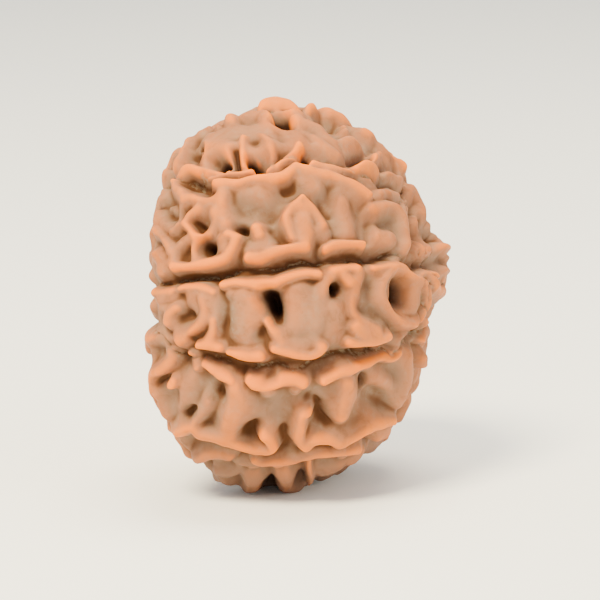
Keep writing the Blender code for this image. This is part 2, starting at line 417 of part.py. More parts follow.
def rounded(points, pieces=3):
    """A smooth run through the points (Catmull-Rom), as a finer list."""
    pts = [np.asarray(p, float) for p in points]
    if len(pts) < 3:
        return pts
    ends = [2 * pts[0] - pts[1]] + pts + [2 * pts[-1] - pts[-2]]
    run = []
    for a, b, c, d in zip(ends, ends[1:], ends[2:], ends[3:]):
        for i in range(pieces):
            t = i / pieces
            run.append(0.5 * (2 * b + (c - a) * t + (2 * a - 5 * b + 4 * c - d) * t ** 2
                              + (3 * b - a - 3 * c + d) * t ** 3))
    return run + [pts[-1]]


def front_groove(end_turn, chart):
    """A groove read off the chart, carried on to both ends of the axis."""
    run = [chart_point(x, z, 0.0) for x, z in reversed(chart)]
    first = turn_of(run[0])
    last = turn_of(run[-1])
    start = angle_of(run[0])
    stop = angle_of(run[-1])
    near = []
    for a in np.linspace(END_ANGLE, start - 6.0, 3):
        if a < start - END_ANGLE:
            near.append(polar_point(a, first + (end_turn - first) * (1 - a / start), 0.0))
    far = []
    for a in np.linspace(stop + 9.0, 180.0 - END_ANGLE, 6):
        share = (a - stop) / (180.0 - END_ANGLE - stop)
        far.append(polar_point(a, last + (end_turn - last) * share, 0.0))
    return rounded(near + run + far)


def hidden_groove(number, turn):
    run = []
    for a in np.linspace(END_ANGLE, 180.0 - END_ANGLE, 16):
        swing = GROOVE_SWING * math.sin(math.radians(a * 3.1 + 70.0 * number))
        run.append(polar_point(a, turn + swing, 0.0))
    return rounded(run)


def groove_lines():
    """All ten grooves in order round the axis, each as points from the +X end to the -X end."""
    lines = [front_groove(end_turn, chart) for end_turn, chart in GROOVES_IN_CHART]
    lines += [hidden_groove(number, turn) for number, turn in enumerate(HIDDEN_GROOVES)]
    return sorted(lines, key=lambda line: turn_at(line, 90.0) % 360.0)


def turn_at(line, angle):
    """The turn at which a groove passes this angle from the +X end."""
    angles = np.array([angle_of(p) for p in line])
    turns = np.unwrap([math.radians(turn_of(p)) for p in line])
    order = np.argsort(angles)
    return math.degrees(np.interp(angle, angles[order], turns[order]))


def facing(point):
    """How squarely the smooth body at this point faces the chart's eye."""
    direction = unit(point)
    side = unit(np.cross(direction, PROBE_SIDE))
    other = np.cross(direction, side)
    here = on_level(direction, 0.0)
    first = on_level(unit(direction + TILT_PROBE * side), 0.0) - here
    second = on_level(unit(direction + TILT_PROBE * other), 0.0) - here
    return float(unit(np.cross(first, second)) @ unit(chart_frame()[2] * CHART_DISTANCE - here))


def off_chart(points):
    return all(facing(p) < CHART_EDGE for p in points)


def segment_spot(grooves, k, angle, share, level=RIDGE_LEVEL):
    """A point of segment k, a share of the way from its first groove to its second."""
    low = turn_at(grooves[k], angle)
    high = turn_at(grooves[(k + 1) % len(grooves)], angle)
    return polar_point(angle, low + ((high - low) % 360.0) * share, level)


def segment_width(grooves, k, angle):
    return float(np.linalg.norm(segment_spot(grooves, k, angle, 1.0) - segment_spot(grooves, k, angle, 0.0)))


def drawn_ridge(draw, points, scale=1.0):
    return (draw.uniform(*RIDGE_HEIGHTS) * scale, draw.uniform(*RIDGE_WIDTHS), points)


def end_lobe(grooves, k):
    height, half, (start, stop) = END_LOBE
    return (height, half, [segment_spot(grooves, k, start, 0.5), segment_spot(grooves, k, stop, 0.5)])


def shelves(grooves, k, draw):
    """Broken shelves along both edges of a segment."""
    ridges = []
    for side in (0, 1):
        angle = draw.uniform(*SHELF_START)
        while angle < SHELF_STOP - 2.0:
            length = draw.uniform(*SHELF_LENGTH)
            points = []
            for a in np.arange(angle, min(angle + length, SHELF_STOP) + 0.1, 5.0):
                share = SHELF_OFFSET / max(segment_width(grooves, k, a), 3.0) * draw.uniform(*SHELF_WANDER)
                points.append(segment_spot(grooves, k, a, share if side == 0 else 1.0 - share))
            ridges.append(drawn_ridge(draw, points))
            angle += length + draw.uniform(*SHELF_GAP)
    return ridges


def cross_rib(grooves, k, angle, step, draw):
    """One rib or forked rib from edge to edge of a segment."""
    def spot(at, share):
        return segment_spot(grooves, k, at, share)

    wide = segment_width(grooves, k, angle)
    edge = SHELF_OFFSET / max(wide, 3.0)
    lean = draw.uniform(-RIB_LEAN, RIB_LEAN)
    kind = draw.uniform()
    if wide < NARROW_SEGMENT:
        along = [spot(angle, 0.5), spot(angle + step, 0.5 + draw.uniform(-0.1, 0.1))]
        return [drawn_ridge(draw, along, 0.9)]
    if kind < 0.36:
        across = [spot(angle, edge), spot(angle + lean, 0.5), spot(angle + 0.4 * lean, 1 - edge)]
        return [drawn_ridge(draw, across)]
    if kind < 0.68:
        lower = [spot(angle, edge), spot(angle + 0.5 * lean, 0.34), spot(angle + lean, 0.55)]
        upper = [spot(angle + 0.6 * step + lean, 0.62), spot(angle + 0.6 * step, 0.86)]
        return [drawn_ridge(draw, lower), drawn_ridge(draw, upper)]
    upper = [spot(angle, 1 - edge), spot(angle + 0.5 * lean, 0.66), spot(angle + lean, 0.45)]
    hook = [spot(angle + lean, 0.45), spot(angle + lean + 0.7 * step, 0.36)]
    return [drawn_ridge(draw, upper), drawn_ridge(draw, hook, 0.85)]


def cell_pit(grooves, k, middle, draw):
    share = draw.uniform(0.3, 0.7)
    start = segment_spot(grooves, k, middle, share, 0.0)
    stop = segment_spot(grooves, k, middle + draw.uniform(-1.5, 1.5), share + 0.07, 0.0)
    return (draw.uniform(*PIT_DEPTHS), draw.uniform(*PIT_WIDTHS), [start, stop])


def hidden_net(grooves):
    """Lobes, shelves, cross ribs and pits of the segments, where the chart doesn't reach."""
    draw = np.random.default_rng(HIDDEN_SEED)
    ridges = []
    pits = []
    step = math.degrees(RIB_SPACING / FLOOR_RADIUS)
    for k in range(len(grooves)):
        ridges.append(end_lobe(grooves, k))
        ridges += shelves(grooves, k, draw)
        angle = RIB_START + draw.uniform(0.0, step)
        while angle < RIB_STOP:
            ridges += cross_rib(grooves, k, angle, step, draw)
            if segment_width(grooves, k, angle) > NARROW_SEGMENT and draw.uniform() < PIT_CHANCE:
                pits.append(cell_pit(grooves, k, angle + 0.5 * step, draw))
            angle += step * draw.uniform(0.82, 1.2)
    ridges = [(height, half, rounded(points)) for height, half, points in ridges if off_chart(points)]
    return ridges, [(depth, half, rounded(points)) for depth, half, points in pits if off_chart(points)]


def waves(points, length, seed, count=14):
    """Smooth seeded noise, about -1 to 1."""
    draw = np.random.default_rng(seed)
    total = np.zeros(len(points))
    for _ in range(count):
        way = unit(draw.normal(size=3))
        pace = 2 * math.pi / (length * draw.uniform(0.75, 1.4))
        total += np.sin(points @ way * pace + draw.uniform(0.0, 2 * math.pi))
    return total / math.sqrt(count)


def distance_to_run(points, run):
    """Distance from each point to a run of short straight pieces, over the run's scale there."""
    nearest = np.full(len(points), np.inf)
    for a, b in zip(run, run[1:]):
        start, ab = a[:3], b[:3] - a[:3]
        t = np.clip((points - start) @ ab / max(ab @ ab, 1e-9), 0.0, 1.0)
        scale = a[3] + (b[3] - a[3]) * t
        nearest = np.minimum(nearest, np.linalg.norm(points - start - t[:, None] * ab, axis=1) / scale)
    return nearest


def close_to_run(points, run, margin):
    """Which points may lie within a margin of a run, and how far each of them is from it."""
    run = np.array([np.append(p, 1.0) if len(p) == 3 else p for p in run])
    middle = run[:, :3].mean(axis=0)
    reach = np.linalg.norm(run[:, :3] - middle, axis=1).max() + margin * run[:, 3].max()
    close = np.nonzero(np.linalg.norm(points - middle, axis=1) < reach)[0]
    return close, distance_to_run(points[close], run)


def raise_ridges(points, ridges):
    """Height of all ridges together: each one a rounded bar on a low wide skirt."""
    crests = np.zeros(len(points))
    skirts = np.zeros(len(points))
    for height, half, run in ridges:
        top = height * RIDGE_RISE
        spread = half * RIDGE_SPREAD
        close, distance = close_to_run(points, run, 2.0 * SKIRT_SPREAD * spread)
        crests[close] += (top * np.exp(-(distance / spread) ** RIDGE_SHARPNESS)) ** UNION_POWER
        skirts[close] += (top * np.exp(-(distance / (SKIRT_SPREAD * spread)) ** 2)) ** UNION_POWER
    root = 1.0 / UNION_POWER
    return CREST_SHARE * crests ** root + (1.0 - CREST_SHARE) * skirts ** root


def sink(points, lines, sharpness):
    """Depth of all pits or grooves together."""
    total = np.zeros(len(points))
    for depth, half, run in lines:
        close, distance = close_to_run(points, run, 2.2 * half)
        total[close] += depth * np.exp(-(distance / half) ** sharpness)
    return total


def relief(directions):
    """Height of the real surface over the smooth floor, along unit directions."""
    grooves = groove_lines()
    ridges, pits = hidden_net(grooves)
    ridges += [(height, half, chart_run(chart, RIDGE_LEVEL)) for height, half, chart in FRONT_RIDGES]
    pits += [(depth, half, chart_run(chart, PIT_LEVEL)) for depth, half, chart in FRONT_PITS]
    cuts = [(GROOVE_DEPTH, GROOVE_WIDTH, line) for line in grooves]

    crest = on_level(directions, RIDGE_LEVEL)
    low = on_level(directions, 0.0)
    wander = WARP * np.stack([waves(low, WARP_LENGTH, seed) for seed in (1, 2, 3)], axis=1)
    height = raise_ridges(crest + wander, ridges) + SWELL * waves(low, SWELL_LENGTH, 4)
    height -= sink(low + wander, pits, PIT_SHARPNESS)
    height -= sink(low + 0.5 * wander, cuts, GROOVE_SHARPNESS)
    for rise, half, (x, z) in SWELLINGS:
        height += rise * np.exp(-(np.linalg.norm(low - chart_point(x, z, 0.0), axis=1) / half) ** 2)
    for end in (-1.0, 1.0):
        off_axis = np.arccos(np.clip(directions[:, 0] * end, -1.0, 1.0))
        height -= END_DIMPLE * np.exp(-(off_axis * NARROW_HALF / END_DIMPLE_WIDTH) ** 2)
    return height


def stone_points(directions):
    """World points, in millimetres, of the stone's surface along unit directions."""
    return (directions * (floor_radius(directions) + relief(directions))[:, None]) @ stone_to_world().T


def ball_mesh():
    mesh = bpy.data.meshes.new("bead")
    bm = bmesh.new()
    bmesh.ops.create_icosphere(bm, subdivisions=ICOSPHERE_STEPS, radius=1.0)
    bm.to_mesh(mesh)
    bm.free()
    return mesh


def make_stone(collection):
    """The ridged stone, placed so that its lowest crests reach below the ground by the foot's cut."""
    mesh = ball_mesh()
    directions = np.empty(len(mesh.vertices) * 3)
    mesh.vertices.foreach_get("co", directions)
    points = stone_points(unit(directions.reshape(-1, 3)))
    points[:, 2] -= points[:, 2].min() + FOOT_CUT
    points[:, :2] -= (points[:, :2].max(axis=0) + points[:, :2].min(axis=0)) / 2
    mesh.vertices.foreach_set("co", (points * MM).ravel())
    mesh.update()
    stone = bpy.data.objects.new("bead", mesh)
    collection.objects.link(stone)
    return stone


def reduce_faces(stone):
    modifier = stone.modifiers.new("fewer faces", "DECIMATE")
    modifier.ratio = TRIANGLES / len(stone.data.polygons)
    modifier.use_collapse_triangulate = True


def wear_foot(stone, cutters):
    """Cuts the lowest crests flat, so that the stone stands."""
    mesh = bpy.data.meshes.new("foot cutter")
    bm = bmesh.new()
    bmesh.ops.create_cube(bm, size=1.0)
    bm.to_mesh(mesh)
    bm.free()
    block = bpy.data.objects.new("foot_cutter", mesh)
    block.scale = [side * MM for side in FOOT_BLOCK]
    block.location = (0.0, 0.0, -FOOT_BLOCK[2] / 2 * MM)
    block.hide_render = True
    block.display_type = "WIRE"
    cutters.objects.link(block)
    modifier = stone.modifiers.new("worn foot", "BOOLEAN")
    modifier.operation = "DIFFERENCE"
    modifier.object = block


def stone_material():
    material = bpy.data.materials.new("rudraksha stone")
    material.use_nodes = True
    shader = material.node_tree.nodes["Principled BSDF"]
    shader.inputs["Base Color"].default_value = STONE_COLOUR
    shader.inputs["Roughness"].default_value = STONE_ROUGHNESS
    shader.inputs["Metallic"].default_value = 0.0
    return material


def new_collection(name):
    collection = bpy.data.collections.new(name)
    bpy.context.scene.collection.children.link(collection)
    return collection


def main():
    for old in list(bpy.data.objects):
        bpy.data.objects.remove(old, do_unlink=True)
    stone = make_stone(new_collection("ten mukhi rudraksha bead"))
    reduce_faces(stone)
    wear_foot(stone, new_collection("cutters"))
    stone.data.materials.append(stone_material())
    stone.data.shade_smooth()


main()
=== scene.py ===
import math

import bmesh
import bpy
import numpy as np
from mathutils import Euler, Matrix, Vector


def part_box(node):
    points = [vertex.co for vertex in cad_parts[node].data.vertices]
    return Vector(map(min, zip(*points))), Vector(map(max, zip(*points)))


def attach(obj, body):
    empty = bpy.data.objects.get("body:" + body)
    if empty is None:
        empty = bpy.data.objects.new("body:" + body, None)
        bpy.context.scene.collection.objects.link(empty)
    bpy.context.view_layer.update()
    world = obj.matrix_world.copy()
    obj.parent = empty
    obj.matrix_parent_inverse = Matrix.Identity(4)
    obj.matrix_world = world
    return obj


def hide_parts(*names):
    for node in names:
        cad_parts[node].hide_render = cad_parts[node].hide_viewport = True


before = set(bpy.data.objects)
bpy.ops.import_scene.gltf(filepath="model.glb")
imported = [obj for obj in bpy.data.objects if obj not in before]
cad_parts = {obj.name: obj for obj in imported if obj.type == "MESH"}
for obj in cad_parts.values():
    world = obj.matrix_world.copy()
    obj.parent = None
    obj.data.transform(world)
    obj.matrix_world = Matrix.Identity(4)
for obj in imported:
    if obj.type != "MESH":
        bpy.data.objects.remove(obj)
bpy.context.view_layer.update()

# The looks of a ten mukhi rudraksha bead: the CAD solid's own formulas on a finer mesh, with
# crisper ridges, fine seams and grain. Lengths are in millimetres until they reach the mesh, and
# those of the stage and the lamps are in metres.

MM = 0.001
TRIANGLES = 198000

# Driving dimensions of the smooth body, in millimetres and degrees
FLOOR_RADIUS = 11.8  # from the axis to the floor between ridges, at the middle
NARROW_HALF = 8.6  # from the middle to the floor at the +X end
BLUNT_HALF = 6.8  # from the middle to the floor at the -X end
NARROW_POWER = 1.95  # 2 is an ellipse, more is squarer
BLUNT_POWER = 3.2
AXIS_TILT = 11.0  # how far the +X end is raised
RIDGE_LEVEL = 0.9  # height above the floor at which the chart's ridges were drawn
ICOSPHERE_STEPS = 8

# The front chart: x to the right and z up, in millimetres, seen from this direction and distance
CHART_AZIMUTH = 22.0
CHART_ELEVATION = 9.0
CHART_DISTANCE = 260.0
CHART_CENTRE = (-0.2, 0.17)  # where the stone's middle falls on the chart
CHART_SQUASH = 0.5  # depth along the line of sight counts this much in a drawn width
CHART_EDGE = 0.1  # the chart reaches to where the surface faces its eye this little

# Where the stone is fuller or leaner than a body of revolution: rise, half width, chart point
SWELLINGS = [
    (0.85, 3.4, (-8.9, -6.4)), (0.75, 2.8, (-6.4, -10.6)), (-0.45, 3, (-9, 5.5)), (-0.6, 1.2, (-9.8, -0.9)),
    (-0.8, 3.2, (9, -3.4)), (-0.5, 2.6, (-7, 10.8)), (-0.9, 1.5, (-5, 12.2)), (-0.45, 2.8, (6.9, -8.8)),
    (-0.55, 1.8, (7.8, -7.8)), (-0.6, 1.8, (4.4, -11.2)), (0.6, 2.2, (9.6, 1.8)), (-0.5, 1, (9.6, -1)),
    (0.45, 1.6, (9.4, 4)), (0.5, 1.6, (2.4, -12.4)), (0.5, 1.6, (-5, -12.4)), (0.7, 1.6, (7.4, 8.9)),
]

# Grooves: the turn about the axis (degrees up from the front) at which each one reaches the two
# ends, then its chart points from left to right
GROOVES_IN_CHART = [
    (12, (-9.4, 1), (-8.5, 0.85), (-7, 1.05), (-5.2, 1.2), (-3.6, 1.75), (-1.4, 1.85), (0.5, 2.2),
        (2.5, 2.3), (4.4, 2.45), (6.5, 2.55)),
    (-16, (-9.2, -1.55), (-8.2, -2.5), (-7.4, -3.6), (-6, -3.9), (-4.6, -4.1), (-3, -4.5), (-1.2, -4.45),
        (0.4, -4.6), (1.6, -4.2), (2.9, -3.75), (5, -3.7), (6.8, -3.2), (8, -2.3), (8.6, -0.8)),
    (-56, (-8.6, -8.5), (-7.3, -8.9), (-6.4, -9.3), (-5.4, -9.75), (-4, -10.25), (-2.2, -10.6),
        (-0.4, -10.45), (1, -10), (2.6, -10.2), (4.6, -9.4), (5.8, -8.9), (7, -7.9)),
    (50, (-8.8, 7.4), (-7.7, 7.6), (-6.6, 7.4), (-5.3, 7.6), (-3.5, 7.95), (-1.8, 8.25), (-0.2, 8.65),
        (1, 8.6), (2.6, 8.15), (4, 7.6), (5.6, 6.9), (6.6, 6.3), (7.6, 5)),
    (84, (-7.2, 10.9), (-5.4, 11), (-3.5, 11.35), (-1.6, 11.5), (0.6, 11.4), (2.4, 10.95), (3.9, 10.7),
        (5.2, 10.1), (6.5, 9.2), (7.4, 8.2)),
    (-88, (-6.2, -11.2), (-4, -12.2), (-1.6, -12.3), (0.6, -12.2), (2.4, -11.6)),
]
HIDDEN_GROOVES = [121.0, 158.0, 196.0, 234.0]
GROOVE_DEPTH = 0.5
GROOVE_WIDTH = 0.55
RIM_ANGLE = 90.0  # from the +X end to the rim, where the grooves are put in order
GROOVE_END_GAPS = (6.0, 9.0)  # degrees left free between a groove's chart points and its runs to the ends
GROOVE_END_POINTS = (3, 6)  # points of those two runs
GROOVE_SWING = 3.0  # how far a hidden groove wanders, in degrees
SWING_PACE = 3.1  # swings in a full turn, of which a groove runs through half
SWING_SHIFT = 70.0  # from groove to groove, in degrees
HIDDEN_GROOVE_POINTS = 16

# Ridges read off the photograph: height, half width, chart points with an optional width scale
FRONT_RIDGES = [
    # the crown above the first groove of the front
    (1.4, 0.72, (-2.1, 12.5, 0.8), (-1.6, 12.6), (-0.8, 12.6), (-0.1, 12.4, 0.9)),
    (0.85, 0.5, (-3.25, 11.9), (-2.7, 12.15)),
    (0.85, 0.6, (-1.6, 11.9), (-0.6, 11.9), (0.3, 11.7)),
    (1.15, 0.52, (-4.15, 11.75), (-4.15, 11.5)),
    (0.85, 0.32, (-5.1, 11.55), (-5.05, 11.2)),
    (0.85, 0.36, (-5.85, 11.45), (-6.3, 11.1)),
    (0.8, 0.36, (-6.6, 10.95), (-7.3, 10.4)),
    (0.9, 0.6, (-1.9, 12.2), (-1.9, 11.5), (-1.5, 11)),
    (0.85, 0.5, (0.3, 12.2), (0.4, 11.5)),
    (1.15, 0.45, (0.8, 12.35), (1.4, 12.45), (2.4, 12.15), (3.3, 11.7), (4.1, 11.2), (4.3, 10.95)),
    (0.75, 0.4, (3.1, 11.7), (3.3, 11.2)),
    (0.95, 0.55, (0.9, 11.5), (1.6, 11.1), (2.2, 10.5), (2.9, 10.15), (3.6, 10.3), (4.1, 10.3)),
    # between the first and second groove
    (0.8, 0.9, (-5.6, 10.6), (-4.2, 10.75), (-2.6, 11.1), (-1, 10.9), (0.4, 10.7), (1.4, 10.2), (2, 9.6)),
    (0.95, 0.75, (1.3, 10.4), (2, 9.9), (2.6, 9.3)),
    (0.8, 0.75, (-5.9, 10), (-5.2, 10.2), (-4, 10), (-2.6, 9.9), (-1, 10.2), (0.2, 10.3)),
    (0.65, 0.6, (-4.2, 9), (-3.4, 9)),
    (1.15, 0.4, (0.9, 8.95), (1.7, 8.65), (2.6, 8.4), (3.5, 8.4), (4.1, 8.45)),
    (0.85, 0.35, (0.95, 9.1), (1.8, 9.2), (2.7, 8.95)),
    (1.15, 0.62, (4.4, 8.6), (5, 8.35), (5.3, 8.1)),
    (0.9, 0.4, (4.9, 9.2), (5.6, 9.3)),
    (1.1, 0.6, (4.6, 10.6), (5.2, 10.45), (5.8, 10), (6.2, 9.4)),
    (1, 0.5, (6.5, 9.3), (7.1, 8.9), (7.3, 8.65)),
    (0.85, 0.42, (6.1, 8.1), (6.9, 7.8), (7.3, 7.5)),
    (1.2, 0.4, (-1.2, 8.6), (-0.6, 9.1), (0, 9.55), (0.3, 9.85)),
    (1, 0.36, (-3.45, 10.4), (-3.45, 9.5), (-3.45, 8.7)),
    (0.95, 0.38, (-3.4, 10.35), (-2.6, 10.65), (-1.9, 10.35), (-1.6, 9.5), (-1.7, 8.6)),
    (0.95, 0.7, (-6, 9.6), (-5.2, 9.8), (-4.3, 9.7)),
    (0.8, 0.4, (-6, 9.3), (-6.1, 8.9)),
    (0.9, 0.42, (-7.1, 10.5), (-7.5, 9.9), (-7.9, 9.1), (-8.15, 8.6)),
    (0.95, 0.45, (-7.9, 10.1), (-8.5, 9.3), (-9, 8.4), (-9.25, 7.7)),
    (1.15, 0.38, (-8.3, 7.9), (-7.7, 8.3, 1.2), (-7.1, 8.55, 1.1), (-6.3, 8.4), (-5.4, 8.25),
        (-4.4, 8.35), (-3.5, 8.3), (-2.8, 8.5)),
    # between the second and third groove: upper shelf, triangle and net
    (0.9, 0.4, (-8.3, 7.8), (-8.1, 7.2), (-7.7, 6.9)),
    (1.25, 0.42, (-5.15, 7.45, 1.1), (-4.6, 7.4, 1.1), (-3.8, 7.35), (-3, 7.6), (-2.2, 7.7), (-1.2, 7.75),
        (-0.4, 8), (0.3, 8.3, 1.15), (1.2, 8.05, 1.1), (2.3, 7.85), (3.2, 7.5), (4.2, 6.95), (4.8, 6.55)),
    (1, 0.5, (-5, 7.2), (-4.75, 6.7), (-4.85, 6.2)),
    (0.75, 0.65, (-3.4, 6.9), (-2.4, 7)),
    (0.95, 0.75, (0.7, 7.8), (1.2, 7.3)),
    (0.85, 0.7, (3.2, 7.1), (4.2, 6.7)),
    (1.05, 0.48, (-7.35, 6.55, 1.1), (-6.8, 6.6, 1.1), (-6.2, 6.35), (-5.6, 6.25), (-5.1, 6.5)),
    (0.8, 0.5, (-6.6, 6.3), (-6.4, 5.8)),
    (1, 0.36, (-6.35, 3.95), (-6.9, 4.4), (-7.2, 4.9, 1.1), (-6.9, 5.4, 1.3), (-6.4, 5.8, 1.3)),
    (0.85, 0.42, (-7.1, 4.7), (-7.6, 4.85), (-8.2, 4.45)),
    (0.95, 0.42, (-6.35, 3.9), (-5.9, 4.1), (-5.5, 4.5), (-5.25, 5), (-5.25, 5.6)),
    (1.05, 0.75, (-4.85, 5.5), (-4.6, 4.9)),
    (0.9, 0.45, (-6.5, 3.8), (-6.7, 3.2), (-6.6, 2.6)),
    (0.9, 0.42, (-6.7, 4), (-7.4, 3.6), (-8, 2.9), (-8.2, 2.3)),
    (1.2, 0.4, (-7.9, 1.95), (-7, 1.95), (-6, 2.1), (-5, 2.4), (-4.4, 2.8), (-3.95, 3.4), (-3.9, 3.9),
        (-4.3, 4.1, 0.9)),
    (0.95, 0.55, (-4.75, 3.9), (-4.6, 3.4)),
    (0.95, 0.36, (-9.35, 4.55), (-8.9, 4.2), (-8.5, 3.6), (-8.3, 3)),
    (0.9, 0.5, (-9.45, 5.6), (-9.5, 5.1)),
    (0.75, 0.5, (-8.9, 5.1), (-8.6, 4.8)),
    (0.7, 0.24, (-7.8, 6.1), (-7.75, 5.2), (-7.8, 4.8)),
    (0.6, 0.26, (-8.6, 6), (-8.5, 5.95)),
    (0.8, 0.4, (-9.1, 7.4), (-9.2, 6.7)),
    (0.9, 0.6, (-9.3, 2.9), (-8.9, 2.3), (-8.9, 1.7)),
    (1.25, 0.5, (-2.5, 4.45), (-2.35, 4)),
    (0.7, 0.45, (-2.2, 4), (-1.6, 3.5)),
    (1.1, 0.46, (0.4, 6.4, 0.6), (-0.05, 5.85), (-0.5, 5.25), (-0.35, 4.6), (-0.1, 3.8)),
    (1.05, 0.42, (0.5, 6.4, 0.6), (0.95, 5.8), (1.4, 5.2), (1.85, 4.65)),
    (1.15, 0.8, (0.45, 5.7, 0.7), (0.5, 5), (0.6, 4.4), (0.6, 3.9, 0.8)),
    (0.85, 0.6, (1.6, 4.5), (2.1, 4.1, 0.8)),
    (0.85, 0.75, (3.2, 6.2, 0.8), (3.4, 5.3), (3.5, 4.4, 0.9)),
    (1.25, 0.36, (-2.95, 2.65), (-2.2, 2.55, 1.1), (-1.4, 2.85), (-0.5, 3.05), (0.3, 3.2, 1.2),
        (0.7, 3.35, 1.1)),
    (0.75, 0.5, (-2.9, 3.2), (-1.9, 3.25)),
    (1.2, 0.34, (2.2, 3.25), (3, 3.45), (3.8, 3.5), (4.4, 3.45)),
    (1.05, 0.55, (5.2, 5.7), (5.9, 6), (6.6, 5.85), (7.1, 5.3), (7.35, 4.6), (7.5, 3.8), (7.3, 3.2),
        (6.9, 2.75)),
    (0.95, 0.7, (5.6, 3.9), (6.3, 3.75)),
    (0.9, 0.5, (5.6, 6.8), (6.4, 7.1), (7, 6.9)),
    # between the third and fourth groove: the middle band
    (1, 0.4, (-9.3, 0.45), (-8.6, 0.4), (-8.1, 0.4)),
    (0.8, 0.5, (-8.9, -0.1), (-8.2, -0.05)),
    (1.1, 0.32, (-7.5, 0.5), (-6.8, 0.55), (-6, 0.5), (-5.4, 0.35)),
    (0.75, 0.45, (-6.3, 0.1), (-5.7, 0)),
    (0.8, 0.5, (-6.9, 0.2), (-6.9, -0.4), (-6.8, -0.8)),
    (0.65, 0.4, (-8.9, -0.8), (-8.3, -0.8), (-7.6, -0.65)),
    (1.05, 0.48, (-8.35, -1.75), (-8.2, -1.3), (-7.7, -0.95)),
    (1.05, 0.52, (-7.6, -2.75, 1.15), (-7, -2.5), (-6.4, -2), (-6, -1.5), (-5.9, -0.9), (-6.1, -0.3)),
    (1.15, 0.5, (-6.2, -3.15, 0.8), (-5.5, -3.1), (-4.9, -3.2, 0.8)),
    (1.05, 0.5, (-5.5, -2.9, 1.1), (-5.3, -2.2, 0.8), (-5.3, -1.5, 0.7)),
    (0.8, 0.6, (-5.3, -1.5), (-5.2, -0.8), (-5.4, -0.1)),
    (1.25, 0.38, (-4.75, 0.85), (-4, 1), (-3.2, 0.95, 1.1), (-2.3, 0.8, 1.5), (-1.5, 0.9, 1.2),
        (-0.8, 1.15), (0, 1.35), (0.9, 1.5), (1.5, 1.5)),
    (0.8, 0.55, (-4.2, 0.2), (-3.4, 0.2)),
    (0.8, 0.45, (-3, -0.3), (-3, -1.2), (-3, -1.9)),
    (0.95, 0.5, (-1.8, -1.7, 0.7), (-1.3, -2.2), (-0.9, -2.8)),
    (0.8, 0.75, (-2.6, -0.2), (-2.4, -1.1), (-2.6, -1.7, 0.7)),
    (1.25, 0.46, (-4.3, -3.55, 0.6), (-3.6, -3.75), (-2.9, -3.85), (-2.3, -3.8)),
    (1.2, 0.42, (-1.3, -3.3, 0.9), (-0.4, -3.6), (0.3, -3.85), (1.1, -3.9), (1.6, -3.6), (1.8, -3.2)),
    (0.85, 0.6, (-0.6, -3), (0.6, -3.2), (1.4, -3)),
    (0.95, 0.55, (2.6, 1.8), (2.15, 1), (1.75, 0.2, 1.2), (1.6, -0.9, 1.5), (1.4, -1.9, 1.4)),
    (1.15, 0.36, (2.6, 1.8), (3.3, 2), (4, 1.95, 1.1)),
    (0.95, 0.52, (4.1, 1.8), (3.95, 0.8), (3.8, -0.2), (3.9, -1), (4.6, -1.7, 0.8), (5.4, -2.1, 0.8)),
    (1.1, 0.55, (3.1, 1.6), (3.5, 1.1)),
    (0.9, 0.95, (2.8, -1), (2.6, -2)),
    (1.2, 0.42, (3.6, -3, 0.9), (4.4, -3.1), (5.4, -2.95), (6.2, -2.7)),
    (1.2, 0.75, (4.1, -2, 0.8), (4.6, -2.5), (5.4, -2.55, 0.9)),
    (0.9, 1.15, (0.5, 0.1, 0.8), (0.5, -0.8), (0.3, -1.9)),
    (0.75, 0.95, (-3.5, 0), (-3.4, -1.2), (-3.3, -2.4)),
    (1.05, 0.42, (5.2, 1.95, 0.8), (6, 2), (6.8, 1.95), (7.5, 1.7), (8.2, 1.2), (8.65, 0.5), (8.8, -0.3),
        (8.75, -1.1)),
    (1, 0.42, (6.4, 1.7), (5.85, 1), (5.75, 0.2), (6, -0.6), (6.6, -1.3), (7.3, -1.7, 1.2),
        (8.1, -1.8, 1.2), (8.6, -1.5)),
    (0.8, 0.6, (5.8, 1.6), (6.4, 1.75)),
    (0.85, 0.85, (8, 0.5), (8.1, -0.5)),
    # between the fourth and fifth groove: the lower band
    (1.15, 0.36, (-6, -4.55), (-5.4, -4.85), (-4.7, -5.2), (-4.1, -5.45, 0.7)),
    (1.25, 0.4, (-2.9, -5.35, 0.8), (-2.3, -5.65, 1.2), (-1.6, -5.7, 1.1), (-0.8, -5.45), (0.1, -5.4),
        (0.6, -5.6)),
    (0.8, 0.45, (-2, -6), (-1.8, -6.4)),
    (0.6, 0.28, (0.05, -6.2), (0.05, -6.4)),
    (1.2, 0.38, (1.95, -5.6), (2.5, -5.3), (3.2, -4.9), (4.1, -4.65), (5, -4.5), (6, -4.25), (6.9, -4),
        (7.2, -3.85)),
    (1.15, 0.75, (3.6, -5.5, 0.8), (3.5, -6.2), (3.2, -7), (3.1, -7.8, 0.9)),
    (0.95, 0.85, (7.6, -3.4), (7.9, -4.6), (7.8, -5.8), (7.2, -7)),
    (0.6, 0.6, (5.9, -5.6), (6.5, -6.2)),
    (1.15, 0.85, (-3.8, -5.9, 0.7), (-3.7, -6.6), (-3.9, -7.3), (-4.3, -8.2), (-4.4, -8.9)),
    (0.95, 0.42, (-7, -3.8, 0.7), (-6.7, -4.2), (-6.5, -4.75)),
    (0.75, 0.6, (-6.9, -5.4), (-7.1, -6.2), (-7.1, -7)),
    (1.05, 0.42, (-8.25, -3.6), (-8.15, -4.05), (-8.6, -4.6), (-9.1, -5.2, 1.2), (-9.2, -5.9, 1.2)),
    (1, 0.6, (-9.7, -2.5), (-9.1, -2.6), (-8.6, -2.9, 0.8)),
    (0.9, 0.5, (-9.8, -3.4), (-9.75, -4.1), (-9.6, -4.8)),
    (0.95, 0.6, (-9.1, -6.3), (-8.9, -7.1), (-8.6, -7.8), (-8.1, -8.3)),
    (1.35, 0.4, (-7.8, -5.5), (-7.78, -5.58)),
